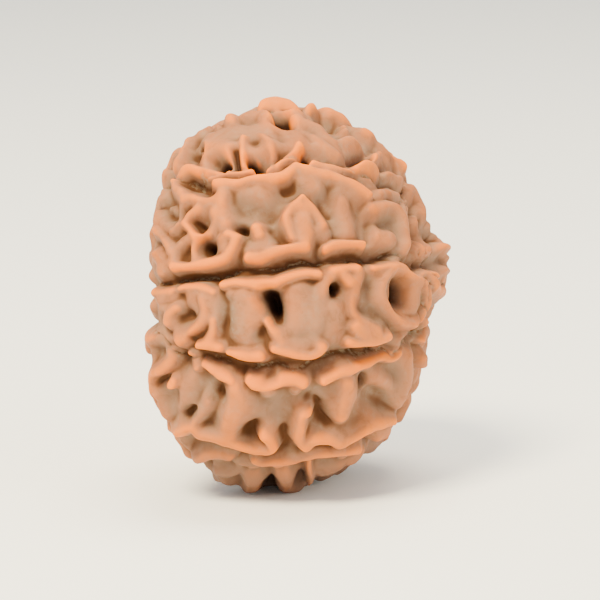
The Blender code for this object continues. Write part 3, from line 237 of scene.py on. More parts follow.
    (1.05, 0.6, (-8, -7.5), (-7.7, -8.1), (-7.1, -8.4)),
    (0.9, 0.52, (-5.75, -6.9), (-6.1, -7.5), (-6.4, -8.1)),
    (1.2, 0.42, (-7.2, -8.35), (-6.5, -8.4), (-6, -8.8), (-5.2, -9), (-4.4, -9.3), (-3.6, -9.6),
        (-2.8, -9.85), (-2, -9.95, 1.2), (-1.5, -9.75, 1.2), (-1.6, -9.3, 1.1), (-2.1, -8.95)),
    (1.1, 0.45, (1, -7.65, 0.7), (0.5, -7.8, 0.9), (0.35, -8.5), (0.3, -9.1), (0.5, -9.6)),
    (1.2, 0.48, (0.7, -9.7, 0.8), (1.3, -9.3), (2.2, -9.25), (3, -9.45, 1.1), (3.7, -9.2),
        (4.6, -8.8, 0.9), (5.6, -8.5, 0.9), (6.5, -8.2)),
    (1, 0.66, (5.6, -9.3), (6.2, -9)),
    # below the fifth groove
    (1.05, 0.5, (-7.7, -9.1), (-7.2, -9.7), (-6.5, -10), (-5.6, -10), (-4.9, -10.1), (-4.2, -10.4)),
    (1.15, 0.36, (-2.6, -10.7, 1.2), (-2.1, -10.9, 1.1), (-1.3, -10.8), (-0.5, -10.8), (0.3, -10.8),
        (0.9, -10.45), (1.5, -10.25), (2.4, -10.1), (3.3, -10.15), (4.2, -10.05)),
    (0.9, 0.55, (-5, -11), (-4.2, -11.3), (-3.4, -11.1)),
    (1.05, 0.6, (-4.9, -11.7), (-4.5, -12.2)),
    (1.3, 0.72, (-2.7, -11.5), (-2.7, -12.3, 1.1), (-2.6, -12.9)),
    (1.3, 0.72, (-0.9, -11.3), (-0.6, -12.1, 1.1), (-0.2, -12.9)),
    (1.05, 0.26, (1, -10.9), (1.05, -11.6), (1.1, -12.3)),
    (0.95, 0.65, (2, -11.6), (2.9, -11.2)),
    (1, 0.55, (3.1, -10.9), (4, -10.8), (4.6, -10.4)),
    # beyond the narrow end
    (0.95, 0.5, (7.7, 7.2), (8.2, 6.9), (8.4, 6.1), (8.4, 5.2)),
    (0.8, 0.5, (7.65, 7), (7.6, 6), (7.5, 5.3)),
    (0.8, 0.4, (8.9, 4.6), (9.2, 4.2)),
    (1, 0.62, (8.5, 3.1), (9.2, 3.15, 0.8), (9.7, 3.25, 0.5)),
    (0.9, 0.32, (8.3, 1.45), (9.2, 1.5), (10, 1.7), (10.1, 2.1), (9.6, 2.5)),
    (1.25, 0.85, (9.1, 1), (9.8, 0.6)),
    (1, 0.58, (9, -1.5), (9.1, -2.3, 0.9), (8.8, -3, 0.6)),
    (1, 0.5, (8.8, -4.3), (8.8, -4.7)),
]

# Pits and hollows read off the photograph, given in the same way with a depth
FRONT_PITS = [
    (0.8, 0.45, (1.4, 11.9, 0.8), (2.1, 11.4), (2.8, 10.9)),
    (0.35, 0.2, (3.3, 10.7), (4.3, 10.9)),
    (0.4, 0.5, (-2.6, 10), (-2.5, 9.6)),
    (0.5, 0.45, (-1, 10.3), (-0.8, 9.9)),
    (0.6, 0.32, (0.9, 10), (1.1, 9.7)),
    (0.5, 0.4, (3, 9.4), (3.5, 9.4)),
    (0.6, 0.5, (3.9, 9.8), (4.4, 9.9)),
    (0.7, 0.4, (6.1, 9.1), (6, 8.6)),
    (0.5, 0.4, (5.1, 7.4), (5.7, 7.4)),
    (0.7, 0.34, (-7, 7.55), (-6.2, 7.45), (-5.7, 7.1)),
    (0.7, 0.36, (-0.6, 6.9), (0, 7)),
    (0.8, 0.3, (1.3, 6.5), (1.8, 5.9), (2.3, 5.3)),
    (0.4, 0.6, (-3.2, 5.8), (-2.4, 5.9), (-1.6, 5.3)),
    (0.5, 0.34, (-1.4, 4.2), (-1.2, 3.8)),
    (2.6, 0.4, (-3.45, 4.35), (-3.35, 4.25)),
    (2.6, 0.46, (-5.65, 3.3), (-5.6, 3.2)),
    (1.1, 0.34, (-6.3, 4.7, 0.8), (-6.05, 4.3)),
    (0.7, 0.32, (-6.95, 3.2), (-7.3, 2.8)),
    (0.45, 0.4, (-8.3, 5.4), (-8.2, 5.2)),
    (0.45, 0.34, (-8.4, 4.2), (-7.9, 3.7)),
    (0.45, 0.2, (-8.3, 2.4), (-8.4, 1.8)),
    (0.7, 0.22, (4.2, 5.55), (4.6, 5.5)),
    (0.5, 0.36, (4.8, 5), (4.8, 3.6)),
    (1.1, 0.38, (-7.2, -1.35, 0.9), (-6.7, -1.15)),
    (0.8, 0.26, (-6.4, -2.5), (-5.9, -2.15)),
    (0.35, 0.34, (-4.3, -0.9), (-4.3, -2.6)),
    (0.3, 0.26, (-4.6, -2.6), (-4.5, -3.1)),
    (2.8, 0.6, (-1.55, -0.15, 1.1), (-1.3, -0.8), (-1.05, -1.5, 0.65)),
    (0.9, 0.36, (-2.25, -2.45), (-1.95, -2.3)),
    (2.4, 0.38, (2.6, 0.5), (2.65, 0.1, 0.9)),
    (3.2, 0.54, (6.95, 0.6), (6.95, 0)),
    (0.6, 0.7, (7.1, 0.5), (7.2, -0.2)),
    (0.9, 0.34, (-1.7, -5.05), (-1.3, -5)),
    (2.6, 0.42, (4.65, -5.4, 0.8), (4.6, -6.1)),
    (0.6, 0.8, (5.2, -6.6), (5.8, -7)),
    (0.9, 0.25, (-7.35, -5.2), (-7.75, -4.9), (-8.2, -5.05), (-8.4, -5.5), (-8.25, -5.95)),
    (1.8, 0.38, (-6.5, -7), (-6.7, -7.35)),
    (0.6, 0.4, (-4.8, -5.75), (-4.75, -6.1)),
    (0.6, 0.5, (-9.2, -3.4), (-9.1, -3.9)),
    (0.6, 0.34, (-7.6, -3.7), (-7.5, -3.9)),
    (0.8, 0.5, (-3, -8.6), (-2.7, -8.4), (-2.2, -8.2, 0.8)),
    (0.6, 0.4, (-0.8, -8.6), (-0.7, -9.6)),
    (0.9, 0.6, (1.6, -7.2, 0.8), (1.8, -7.8), (2.1, -8.1, 0.8)),
    (0.5, 0.4, (0.9, -6.7), (1.3, -6.9)),
    (1.2, 0.28, (4.6, -9.3), (4.9, -9.8)),
    (1.9, 0.3, (-1.75, -11.5), (-1.5, -12.2)),
    (1.3, 0.38, (0.2, -11.3), (0.4, -11.7)),
    (1.2, 0.26, (1.6, -10.95), (1.9, -11.15)),
    (0.6, 0.3, (-3.6, -11.8), (-3.7, -12.2)),
    (0.7, 0.3, (8, 4.9), (7.95, 4.4)),
    (0.9, 0.22, (7.3, 2.3), (7.6, 2.1)),
    (1, 0.3, (7.9, 1.95), (8.3, 1.8)),
    (0.5, 0.36, (8.9, 2), (9.5, 2.1)),
    (0.5, 0.36, (7.1, -2.8), (7.6, -2.9)),
]

# Pits in raised ground, such as the shoulder and the crown
HIGH_PITS = [
    (3.2, 0.46, (-0.85, 12.05), (-0.65, 11.5)),
    (0.6, 0.42, (-6.75, 9.95), (-6.55, 9.4)),
    (0.5, 0.14, (-6.45, 10.3), (-6.2, 9.9), (-6.15, 9.4)),
    (0.6, 0.5, (-5.2, 9.25), (-4.9, 9.1)),
    (2.6, 0.32, (-4.95, 9), (-4.75, 8.9)),
    (0.8, 0.3, (-4, 9.7), (-3.95, 8.8)),
    (2.6, 0.3, (-2.95, 9.1), (-2.75, 8.95)),
    (2.6, 0.22, (-2.55, 9), (-2.4, 8.6), (-2.25, 8.3)),
    (2.4, 0.26, (0.75, 9.5), (0.7, 9), (0.5, 8.7)),
    (2.2, 0.34, (3.9, 9.15), (4.4, 9.3), (4.8, 9.4)),
]

# The sides that the chart doesn't reach: ridges and pits by rule, with seeded draws
HIDDEN_SEED = 11
SHELF_OFFSET = 0.95  # from a groove to the shelf beside it
SHELF_START = (24.0, 31.0)  # where a shelf may begin, in degrees from the +X end
SHELF_STOP = 166.0
SHELF_LENGTH = (11.0, 26.0)
SHELF_GAP = (4.0, 7.0)
SHELF_WANDER = (0.8, 1.35)  # scales its offset from point to point
SHELF_STEP = 5.0  # degrees from point to point
SHELF_MARGIN = 2.0  # no shelf starts this near to the stop
LEAST_WIDTH = 3.0  # a segment counts as at least this wide when an offset is turned into a share
ROUNDING = 0.1  # added to the end of a range, so that its last point is kept
RIB_SPACING = 2.35  # between cross ribs, along a segment
RIB_START = 24.0
RIB_STOP = 160.0
RIB_LEAN = 4.5  # how far a cross rib slants, in degrees
RIB_UNEVENNESS = (0.82, 1.2)  # scales the spacing from rib to rib
LONE_RIB = (0.9, 0.1)  # height scale and wander of the rib along a narrow segment
NARROW_SEGMENT = 3.6  # a segment this narrow has one rib along its middle, and no pits
END_LOBE = (0.95, 0.62, (13.0, 25.0))  # height, half width and span of the lobe that starts a segment
STRAIGHT_CHANCE = 0.36  # of a straight rib
FORKED_CHANCE = 0.32  # of a forked one, the rest are hooked
# Ribs as lines, each with a height scale and points: shares of the lean, of the spacing and of the way
# across, where 0 and 1 are the shelves
STRAIGHT_RIB = [(1.0, [(0.0, 0.0, 0.0), (1.0, 0.0, 0.5), (0.4, 0.0, 1.0)])]
FORKED_RIB = [(1.0, [(0.0, 0.0, 0.0), (0.5, 0.0, 0.34), (1.0, 0.0, 0.55)]),
              (1.0, [(1.0, 0.6, 0.62), (0.0, 0.6, 0.86)])]
HOOKED_RIB = [(1.0, [(0.0, 0.0, 1.0), (0.5, 0.0, 0.66), (1.0, 0.0, 0.45)]),
              (0.85, [(1.0, 0.0, 0.45), (1.0, 0.7, 0.36)])]
PIT_CHANCE = 0.75
PIT_PLACES = (0.3, 0.7)  # where a pit may lie, as a share of the way across
PIT_SLANT = 1.5  # how far its far end leans, in degrees
PIT_LENGTH = 0.07  # as a share of the way across
RIDGE_HEIGHTS = (0.85, 1.25)
RIDGE_WIDTHS = (0.38, 0.54)
PIT_DEPTHS = (0.7, 2.0)
PIT_WIDTHS = (0.3, 0.46)

CALM_FROM = -0.45  # ridges that face the chart's eye more than this are calmer
CALM_HEIGHT = 0.64
CALM_WIDTH = 1.35

# The profile of ridges and pits
RIDGE_RISE = 1.2  # scales every ridge's height
RIDGE_SPREAD = 1.1  # scales every ridge's half width
RIDGE_SHARPNESS = 2.5  # more is flatter on top and steeper at the sides
CREST_SHARE = 0.62  # of a ridge's height, the rest is its skirt
SKIRT_SPREAD = 2.1  # the skirt's half width over the ridge's
PIT_LEVEL = 0.3  # height above the floor at which the chart's pits were drawn
HIGH_PIT_LEVEL = 0.9  # the same for pits in raised ground
HIGH_PIT_SHADE = 2.0  # pits in raised ground are seen at a slant, and darken from their rims down
PIT_SPREAD = 0.95  # scales the half width of every pit of the chart
PIT_SHARPNESS = 2.4
SKIRT_REACH = 2.0  # a ridge counts out to this many half widths of its skirt
PIT_REACH = 2.2  # a pit or a groove counts out to this many half widths
GROOVE_SHARPNESS = 2.0
UNION_POWER = 5.0  # more keeps crossing ridges from adding up
RIDGE_CAP = 1.6  # no crest stands higher than this, so that broad ridges end in flats
CAP_SHARPNESS = 8.0
THICKNESS = 0.13  # how much a ridge swells and narrows along its line
THICKNESS_LENGTH = 1.9
THICKNESS_SEED = 5
WARP = 0.084  # how far the ridges wander from their drawn lines
WARP_LENGTH = 2.6
WARP_SEEDS = (1, 2, 3)
GROOVE_WARP = 0.5  # the share of it that moves the grooves
SWELL = 0.14  # low waves of the floor
SWELL_LENGTH = 9.0
SWELL_SEED = 4
WAVE_COUNT = 14  # waves in a seeded noise, and the range of their lengths
WAVE_LENGTHS = (0.75, 1.4)
END_DIMPLE = 1.3  # the dimple at the blunt end of the axis
END_DIMPLE_WIDTH = 1.1
FADE_ANGLES = (10.0, 20.0)  # the grooves fade out this near to the +X end
END_ANGLE = 4.0  # how near to the axis the grooves run, in degrees

SEARCH_REACH = (16.0, 6.0)  # how far before and behind the middle a line of sight is searched
SEARCH_STEP = 0.02
TILT_PROBE = 0.01  # step of the test that finds which way the floor faces
PROBE_SIDE = (0.31, 0.54, 0.78)

# Finer relief than the solid's
LUMPS = [(0.035, 1.5, 21), (0.018, 0.7, 22)]  # rise, length and seed of small lumps
LUMP_WAVES = 20
SEAM_DEPTH = 0.28  # the fine crack along the bottom of a groove
SEAM_WIDTH = 0.11
SEAM_SHARPNESS = 2.0
SEAM_WANDER = 3.0
FINE_ROUNDS = 24  # neighbour averages that make the fine and wide blurs of the height
WIDE_ROUNDS = 160

# Dust in the valleys, read off the photograph: strength, half width, chart point
DUST_PATCHES = [
    (0.9, 0.8, (-4, -1)), (1, 0.8, (-4, -2.2)), (0.7, 0.7, (1.2, -6.2)), (0.8, 0.7, (3.1, 9.2)),
    (0.7, 0.6, (5.5, 7.3)), (0.7, 0.6, (6.5, 5.1)), (0.6, 0.9, (-6, 9.9)), (0.6, 1, (-4.3, -6.5)),
    (0.5, 0.9, (1, -0.9)), (0.6, 0.7, (9, 1.9)), (0.5, 0.8, (5.9, -6.6)), (0.6, 0.8, (-6.2, 1)),
]

LOW_SHADE_HEIGHT = 4.0  # painted shade: the stone is darker and duller below this height
LOW_STRENGTH = 1.6  # above 1, the painted shade is full before the ground is reached
# Colours, of the floor between ridges, the ridges, the layers over them and the pits; the crest colour is
# partly a painted highlight, and the brown, low and pit colours carry painted shade
FLOOR_COLOUR = (0.22, 0.128, 0.082, 1.0)
SLOPE_COLOUR = (0.385, 0.14, 0.054, 1.0)
# The crest colour is partly the ridges' own orange and partly a painted highlight on the ridge tops
CREST_AND_HIGHLIGHT_COLOUR = (0.77, 0.188, 0.000, 1.0)
BLOTCH_COLOUR = (0.21, 0.066, 0.024, 1.0)
DUST_COLOUR = (0.28, 0.205, 0.145, 1.0)
# A dark brown, used for the random brown mottle and as painted shade in the crevices
BROWN_AND_SHADE_COLOUR = (0.095, 0.04, 0.018, 1.0)
# painted shade towards the floor
LOW_SHADE_COLOUR = (0.19, 0.112, 0.078, 1.0)
SEAM_COLOUR = (0.34, 0.27, 0.18, 1.0)
# painted shade inside the pits
PIT_SHADE_COLOUR = (0.03, 0.012, 0.007, 1.0)
# Noises of the colour and the grain: scale, detail, roughness and distortion
BLOTCH_NOISE = (320.0, 5.0, 0.6, 0.3)
MOTTLE_NOISE = (1100.0, 5.0, 0.65, 0.6)
SPECKLE_NOISE = (2600.0, 4.0, 0.65, 0.0)
GRAIN_NOISE = (7000.0, 3.0, 0.6, 0.0)
# Where each layer of colour starts and is full, and the share of it that shows where that isn't all
SLOPE_RANGE = (-0.25, 0.3)
SLOPE_BLOTCHES = 0.25  # how much the blotches move it, either way of their middle
BLOTCH_MIDDLE = 0.5
BLOTCH_RANGE = (0.4, 0.7)
BLOTCH_SHARE = 0.45
BROWN_RANGE = (0.5, 0.72)
BROWN_SHARE = 0.3
PALE_RANGE = (0.48, 0.3)
PALE_SHARE = 0.25
VALLEY_RANGE = (-0.05, -0.4)
VALLEY_SPECKLES = (0.48, 0.68)
PATCH_SPECKLES = (0.4, 0.62)
DUST_SHARE = 0.45
CREST_RANGE = (1.35, 2.15)
CREST_FINE = 1.6  # how much the fine relief and the blotches move it, so small bumps take more of the painted highlight
CREST_BLOTCHES = 0.5
# painted shade in crevices, where the surface lies below its fine blur
CREVICE_SHADE_RANGE = (0.0, -0.24)
SEAM_RANGE = (0.2, 0.9)
SEAM_SPECKLES = (0.42, 0.6)
SEAM_SHARE = 0.4
LOW_SHADE_SHARE = 0.85
PIT_SHADE_RANGE = (0.45, 1.9)
ROUGHNESS = 0.4  # of a smooth crest
VALLEY_ROUGHNESS = 0.22  # added in valleys, over this range
ROUGH_RANGE = (0.3, -0.3)
SPECKLE_ROUGHNESS = 0.22  # added by the speckles
GRAIN_SHARE = 0.35  # of the grain, beside the speckles, in the bump
BUMP_STRENGTH = 0.35
BUMP_DEPTH = 0.00006
SUBSURFACE = 0.12
SUBSURFACE_RADIUS = (1.0, 0.35, 0.15)
SUBSURFACE_SCALE = 0.0006
SPECULAR = 0.06

# The camera, with its sensor and frame in millimetres and its clipping in metres
SENSOR_WIDTH = 36.0
FRAME_WIDTH = 40.0  # what the picture spans at the stone's middle
CLIP_START = 0.01
CLIP_END = 5.0
MIDDLE_OFFSET = (-0.533, 0.37)  # where the stone's middle falls, from the middle of the picture

# The stage in metres: a floor that reaches this far to the front, and sweeps up into a wall behind
FLOOR_FRONT = 1.0
SWEEP_START = 0.7
SWEEP_RADIUS = 0.3
SWEEP_STEPS = 16
WALL_HEIGHT = 1.4
STAGE_HALF = 1.4
FLOOR_PAPER = (0.94, 0.98, 1.00, 1.0)
PAPER_ROUGHNESS = 0.8
PAPER_SPECULAR = 0.2
SKY_COLOUR = (1.0, 0.97, 0.92, 1.0)
SKY_STRENGTH = 0.98
# Name, place (to the right, up, towards the camera), size, power and colour of each lamp
LAMPS = [
    ("key", (-0.13, 0.30, 0.22), 0.14, 4.5, (1.0, 0.83, 0.52)),
    ("top", (0.05, 0.40, -0.10), 0.26, 2.3, (1.0, 0.86, 0.62)),
    ("fill", (0.26, 0.12, 0.18), 0.25, 0.6, (1.0, 0.86, 0.66)),
]


def placed(name, data):
    made = bpy.data.objects.new(name, data)
    bpy.context.scene.collection.objects.link(made)
    return made


def unit(vectors):
    return vectors / np.linalg.norm(vectors, axis=-1, keepdims=True)


def stone_to_world():
    return np.array(Euler((0.0, -math.radians(AXIS_TILT), 0.0)).to_matrix())


def chart_frame():
    """Right, up and towards-the-eye directions of the front chart, in the stone's own frame."""
    az = math.radians(CHART_AZIMUTH)
    el = math.radians(CHART_ELEVATION)
    right = np.array([math.cos(az), math.sin(az), 0.0])
    back = np.array([math.sin(az) * math.cos(el), -math.cos(az) * math.cos(el), math.sin(el)])
    untilt = stone_to_world().T
    return untilt @ right, untilt @ np.cross(back, right), untilt @ back


def floor_radius(directions):
    """Distance from the middle to the smooth floor, along unit directions."""
    along = directions[..., 0]
    across = np.sqrt(np.clip(1.0 - along ** 2, 0.0, 1.0))
    half = np.where(along > 0, NARROW_HALF, BLUNT_HALF)
    power = np.where(along > 0, NARROW_POWER, BLUNT_POWER)
    return ((np.abs(along) / half) ** power + (across / FLOOR_RADIUS) ** power) ** (-1.0 / power)


def on_level(directions, level):
    return directions * (floor_radius(directions) + level)[..., None]


def chart_point(x, z, level):
    """The point of the surface at this level that the chart's eye sees at x, z."""
    right, up, back = chart_frame()
    eye = back * CHART_DISTANCE
    target = right * (x - CHART_CENTRE[0]) + up * (z - CHART_CENTRE[1])
    steps = np.arange(CHART_DISTANCE - SEARCH_REACH[0], CHART_DISTANCE + SEARCH_REACH[1], SEARCH_STEP)
    points = eye + unit(target - eye) * steps[:, None]
    reach = np.linalg.norm(points, axis=1) / (floor_radius(unit(points)) + level)
    inside = np.nonzero(reach <= 1.0)[0]
    nearest = inside[0] if len(inside) else int(np.argmin(reach))
    return on_level(unit(points[nearest]), level)


def chart_run(chart, level):
    """A smooth run through chart points, each one (x, z) or (x, z, scale of the width)."""
    scaled = [spot if len(spot) > 2 else (*spot, 1.0) for spot in chart]
    return np.array(rounded([np.append(chart_point(x, z, level), scale) for x, z, scale in scaled]))


def squashed(points):
    """Points drawn together along the chart's line of sight, so that widths are as its eye sees them."""
    back = chart_frame()[2]
    drawn = points.copy()
    drawn[:, :3] -= (1.0 - CHART_SQUASH) * (points[:, :3] @ back)[:, None] * back
    return drawn


def polar_point(angle, turn, level):
    """A point at an angle from the +X end and a turn up from the front, both in degrees."""
    a = math.radians(angle)
    t = math.radians(turn)
    direction = np.array([math.cos(a), -math.sin(a) * math.cos(t), math.sin(a) * math.sin(t)])
    return on_level(direction, level)


def turn_of(point):
    return math.degrees(math.atan2(point[2], -point[1]))


def angle_of(point):
    return math.degrees(math.acos(np.clip(point[0] / np.linalg.norm(point), -1.0, 1.0)))


def rounded(points, pieces=3):
    """A smooth run through the points (Catmull-Rom), as a finer list."""
    pts = [np.asarray(p, float) for p in points]
    if len(pts) < 3:
        return pts
    ends = [2 * pts[0] - pts[1]] + pts + [2 * pts[-1] - pts[-2]]
    run = []
    for a, b, c, d in zip(ends, ends[1:], ends[2:], ends[3:]):
        for i in range(pieces):
            t = i / pieces
            run.append(0.5 * (2 * b + (c - a) * t + (2 * a - 5 * b + 4 * c - d) * t ** 2
                              + (3 * b - a - 3 * c + d) * t ** 3))
    return run + [pts[-1]]


def front_groove(end_turn, chart):
    """A groove read off the chart, carried on to both ends of the axis."""
    run = [chart_point(x, z, 0.0) for x, z in reversed(chart)]
    first = turn_of(run[0])
    last = turn_of(run[-1])
    start = angle_of(run[0])
    stop = angle_of(run[-1])
    near = []
    for a in np.linspace(END_ANGLE, start - GROOVE_END_GAPS[0], GROOVE_END_POINTS[0]):
        if a < start - END_ANGLE:
            near.append(polar_point(a, first + (end_turn - first) * (1 - a / start), 0.0))
    far = []
    for a in np.linspace(stop + GROOVE_END_GAPS[1], 180.0 - END_ANGLE, GROOVE_END_POINTS[1]):
        share = (a - stop) / (180.0 - END_ANGLE - stop)
        far.append(polar_point(a, last + (end_turn - last) * share, 0.0))
    return rounded(near + run + far)


def hidden_groove(number, turn):
    run = []
    for a in np.linspace(END_ANGLE, 180.0 - END_ANGLE, HIDDEN_GROOVE_POINTS):
        swing = GROOVE_SWING * math.sin(math.radians(a * SWING_PACE + SWING_SHIFT * number))
        run.append(polar_point(a, turn + swing, 0.0))
    return rounded(run)


def groove_lines():
    """All ten grooves in order round the axis, each as points from the +X end to the -X end."""
    lines = [front_groove(end_turn, chart) for end_turn, *chart in GROOVES_IN_CHART]
    lines += [hidden_groove(number, turn) for number, turn in enumerate(HIDDEN_GROOVES)]
    return sorted(lines, key=lambda line: turn_at(line, RIM_ANGLE) % 360.0)


def turn_at(line, angle):
    """The turn at which a groove passes this angle from the +X end."""
    angles = np.array([angle_of(p) for p in line])
    turns = np.unwrap([math.radians(turn_of(p)) for p in line])
    order = np.argsort(angles)
    return math.degrees(np.interp(angle, angles[order], turns[order]))


def facing(point):
    """How squarely the smooth body at this point faces the chart's eye."""
    direction = unit(point)
    side = unit(np.cross(direction, PROBE_SIDE))
    other = np.cross(direction, side)
    here = on_level(direction, 0.0)
    first = on_level(unit(direction + TILT_PROBE * side), 0.0) - here
    second = on_level(unit(direction + TILT_PROBE * other), 0.0) - here
    return float(unit(np.cross(first, second)) @ unit(chart_frame()[2] * CHART_DISTANCE - here))


def off_chart(points):
    return all(facing(p) < CHART_EDGE for p in points)


def segment_spot(grooves, k, angle, share, level=RIDGE_LEVEL):
    """A point of segment k, a share of the way from its first groove to its second."""
    low = turn_at(grooves[k], angle)
    high = turn_at(grooves[(k + 1) % len(grooves)], angle)
    return polar_point(angle, low + ((high - low) % 360.0) * share, level)


def segment_width(grooves, k, angle):
    return float(np.linalg.norm(segment_spot(grooves, k, angle, 1.0) - segment_spot(grooves, k, angle, 0.0)))


def drawn_ridge(draw, points, scale=1.0):
    return (draw.uniform(*RIDGE_HEIGHTS) * scale, draw.uniform(*RIDGE_WIDTHS), points)


def end_lobe(grooves, k):
    height, half, (start, stop) = END_LOBE
    return (height, half, [segment_spot(grooves, k, start, 0.5), segment_spot(grooves, k, stop, 0.5)])


def shelf_share(grooves, k, angle):
    """How far from a segment's edge its shelf lies, as a share of the way across."""
    return SHELF_OFFSET / max(segment_width(grooves, k, angle), LEAST_WIDTH)


def shelves(grooves, k, draw):
    """Broken shelves along both edges of a segment."""
    ridges = []
    for side in (0, 1):
        angle = draw.uniform(*SHELF_START)
        while angle < SHELF_STOP - SHELF_MARGIN:
            length = draw.uniform(*SHELF_LENGTH)
            points = []
            for a in np.arange(angle, min(angle + length, SHELF_STOP) + ROUNDING, SHELF_STEP):
                share = shelf_share(grooves, k, a) * draw.uniform(*SHELF_WANDER)
                points.append(segment_spot(grooves, k, a, share if side == 0 else 1.0 - share))
            ridges.append(drawn_ridge(draw, points))
            angle += length + draw.uniform(*SHELF_GAP)
    return ridges


def lone_rib(grooves, k, angle, step, draw):
    """The rib along the middle of a narrow segment."""
    scale, wander = LONE_RIB
    along = [segment_spot(grooves, k, angle, 0.5),
             segment_spot(grooves, k, angle + step, 0.5 + draw.uniform(-wander, wander))]
    return [drawn_ridge(draw, along, scale)]


def cross_rib(grooves, k, angle, step, draw):
    """One straight, forked or hooked rib from edge to edge of a segment."""
    edge = shelf_share(grooves, k, angle)
    lean = draw.uniform(-RIB_LEAN, RIB_LEAN)
    kind = draw.uniform()
    if segment_width(grooves, k, angle) < NARROW_SEGMENT:
        return lone_rib(grooves, k, angle, step, draw)
    pattern = HOOKED_RIB
    if kind < STRAIGHT_CHANCE:
        pattern = STRAIGHT_RIB
    elif kind < STRAIGHT_CHANCE + FORKED_CHANCE:
        pattern = FORKED_RIB
    at_shelves = {0.0: edge, 1.0: 1.0 - edge}
    ridges = []
    for scale, line in pattern:
        points = []
        for slant, ahead, across in line:
            at = angle + lean * slant + step * ahead
            points.append(segment_spot(grooves, k, at, at_shelves.get(across, across)))
        ridges.append(drawn_ridge(draw, points, scale))
    return ridges


def calmed(height, half, run):
    """A hidden ridge, lower and broader where the chart's eye sees it at the stone's edge."""
    if facing(run[len(run) // 2]) < CALM_FROM:
        return height, half, run
    return height * CALM_HEIGHT, half * CALM_WIDTH, run


def cell_pit(grooves, k, middle, draw):
    share = draw.uniform(*PIT_PLACES)
    start = segment_spot(grooves, k, middle, share, 0.0)
    stop = segment_spot(grooves, k, middle + draw.uniform(-PIT_SLANT, PIT_SLANT), share + PIT_LENGTH, 0.0)
    return (draw.uniform(*PIT_DEPTHS), draw.uniform(*PIT_WIDTHS), [start, stop])


def hidden_net(grooves):
    """Lobes, shelves, cross ribs and pits of the segments, where the chart doesn't reach."""
    draw = np.random.default_rng(HIDDEN_SEED)
    ridges = []
    pits = []
    step = math.degrees(RIB_SPACING / FLOOR_RADIUS)
    for k in range(len(grooves)):
        ridges.append(end_lobe(grooves, k))
        ridges += shelves(grooves, k, draw)
        angle = RIB_START + draw.uniform(0.0, step)
        while angle < RIB_STOP:
            ridges += cross_rib(grooves, k, angle, step, draw)
            if segment_width(grooves, k, angle) > NARROW_SEGMENT and draw.uniform() < PIT_CHANCE:
                pits.append(cell_pit(grooves, k, angle + 0.5 * step, draw))
            angle += step * draw.uniform(*RIB_UNEVENNESS)
    ridges = [(height, half, rounded(points)) for height, half, points in ridges if off_chart(points)]
    return ridges, [(depth, half, rounded(points)) for depth, half, points in pits if off_chart(points)]


def waves(points, length, seed, count=WAVE_COUNT):
    """Smooth seeded noise, about -1 to 1."""
    draw = np.random.default_rng(seed)
    total = np.zeros(len(points))
    for _ in range(count):
        way = unit(draw.normal(size=3))
        pace = 2 * math.pi / (length * draw.uniform(*WAVE_LENGTHS))
        total += np.sin(points @ way * pace + draw.uniform(0.0, 2 * math.pi))
    return total / math.sqrt(count)


def distance_to_run(points, run):
    """Distance from each point to a run of short straight pieces, over the run's scale there."""
    nearest = np.full(len(points), np.inf)
    for a, b in zip(run, run[1:]):
        start, ab = a[:3], b[:3] - a[:3]
        t = np.clip((points - start) @ ab / max(ab @ ab, 1e-9), 0.0, 1.0)
        scale = a[3] + (b[3] - a[3]) * t
        nearest = np.minimum(nearest, np.linalg.norm(points - start - t[:, None] * ab, axis=1) / scale)
    return nearest


def close_to_run(points, run, margin):
    """Which points may lie within a margin of a run, and how far each of them is from it."""
    run = np.array([np.append(p, 1.0) if len(p) == 3 else p for p in run])
    middle = run[:, :3].mean(axis=0)
    reach = np.linalg.norm(run[:, :3] - middle, axis=1).max() + margin * run[:, 3].max()
    close = np.nonzero(np.linalg.norm(points - middle, axis=1) < reach)[0]
    return close, distance_to_run(points[close], run)


def raise_ridges(thickness, sets):
    """Height of all ridges together: each one a rounded bar on a low wide skirt."""
    crests = np.zeros(len(thickness))
    skirts = np.zeros(len(thickness))
    for points, ridges in sets:
        for height, half, run in ridges:
            top = height * RIDGE_RISE
            spread = half * RIDGE_SPREAD
            close, distance = close_to_run(points, run, SKIRT_REACH * SKIRT_SPREAD * spread)
            distance = distance / thickness[close]
            crests[close] += (top * np.exp(-(distance / spread) ** RIDGE_SHARPNESS)) ** UNION_POWER
            skirts[close] += (top * np.exp(-(distance / (SKIRT_SPREAD * spread)) ** 2)) ** UNION_POWER
    root = 1.0 / UNION_POWER
    height = CREST_SHARE * crests ** root + (1.0 - CREST_SHARE) * skirts ** root
    return height / (1.0 + (height / RIDGE_CAP) ** CAP_SHARPNESS) ** (1.0 / CAP_SHARPNESS)


def sink(points, lines, sharpness):
    """Depth of all pits or seams together."""
    total = np.zeros(len(points))
    for depth, half, run in lines:
        close, distance = close_to_run(points, run, PIT_REACH * half)
        total[close] += depth * np.exp(-(distance / half) ** sharpness)
    return total


def cut_grooves(points, lines):
    """Depth of the grooves, which don't add up where they meet at the ends of the axis."""
    depth = np.zeros(len(points))
    for line in lines:
        close, distance = close_to_run(points, line, PIT_REACH * GROOVE_WIDTH)
        cut = GROOVE_DEPTH * np.exp(-(distance / GROOVE_WIDTH) ** GROOVE_SHARPNESS)
        depth[close] = np.maximum(depth[close], cut)
    return depth


def laid(lines, level, spread=1.0):
    """The chart's ridges or pits, laid on the body at this level."""
    return [(size, half * spread, chart_run(chart, level)) for size, half, *chart in lines]


def soft_spots(points, spots):
    """Soft round spots together, each with a rise, a half width and a chart point."""
    total = np.zeros(len(points))
    for rise, half, (x, z) in spots:
        total += rise * np.exp(-(np.linalg.norm(points - chart_point(x, z, 0.0), axis=1) / half) ** 2)
    return total


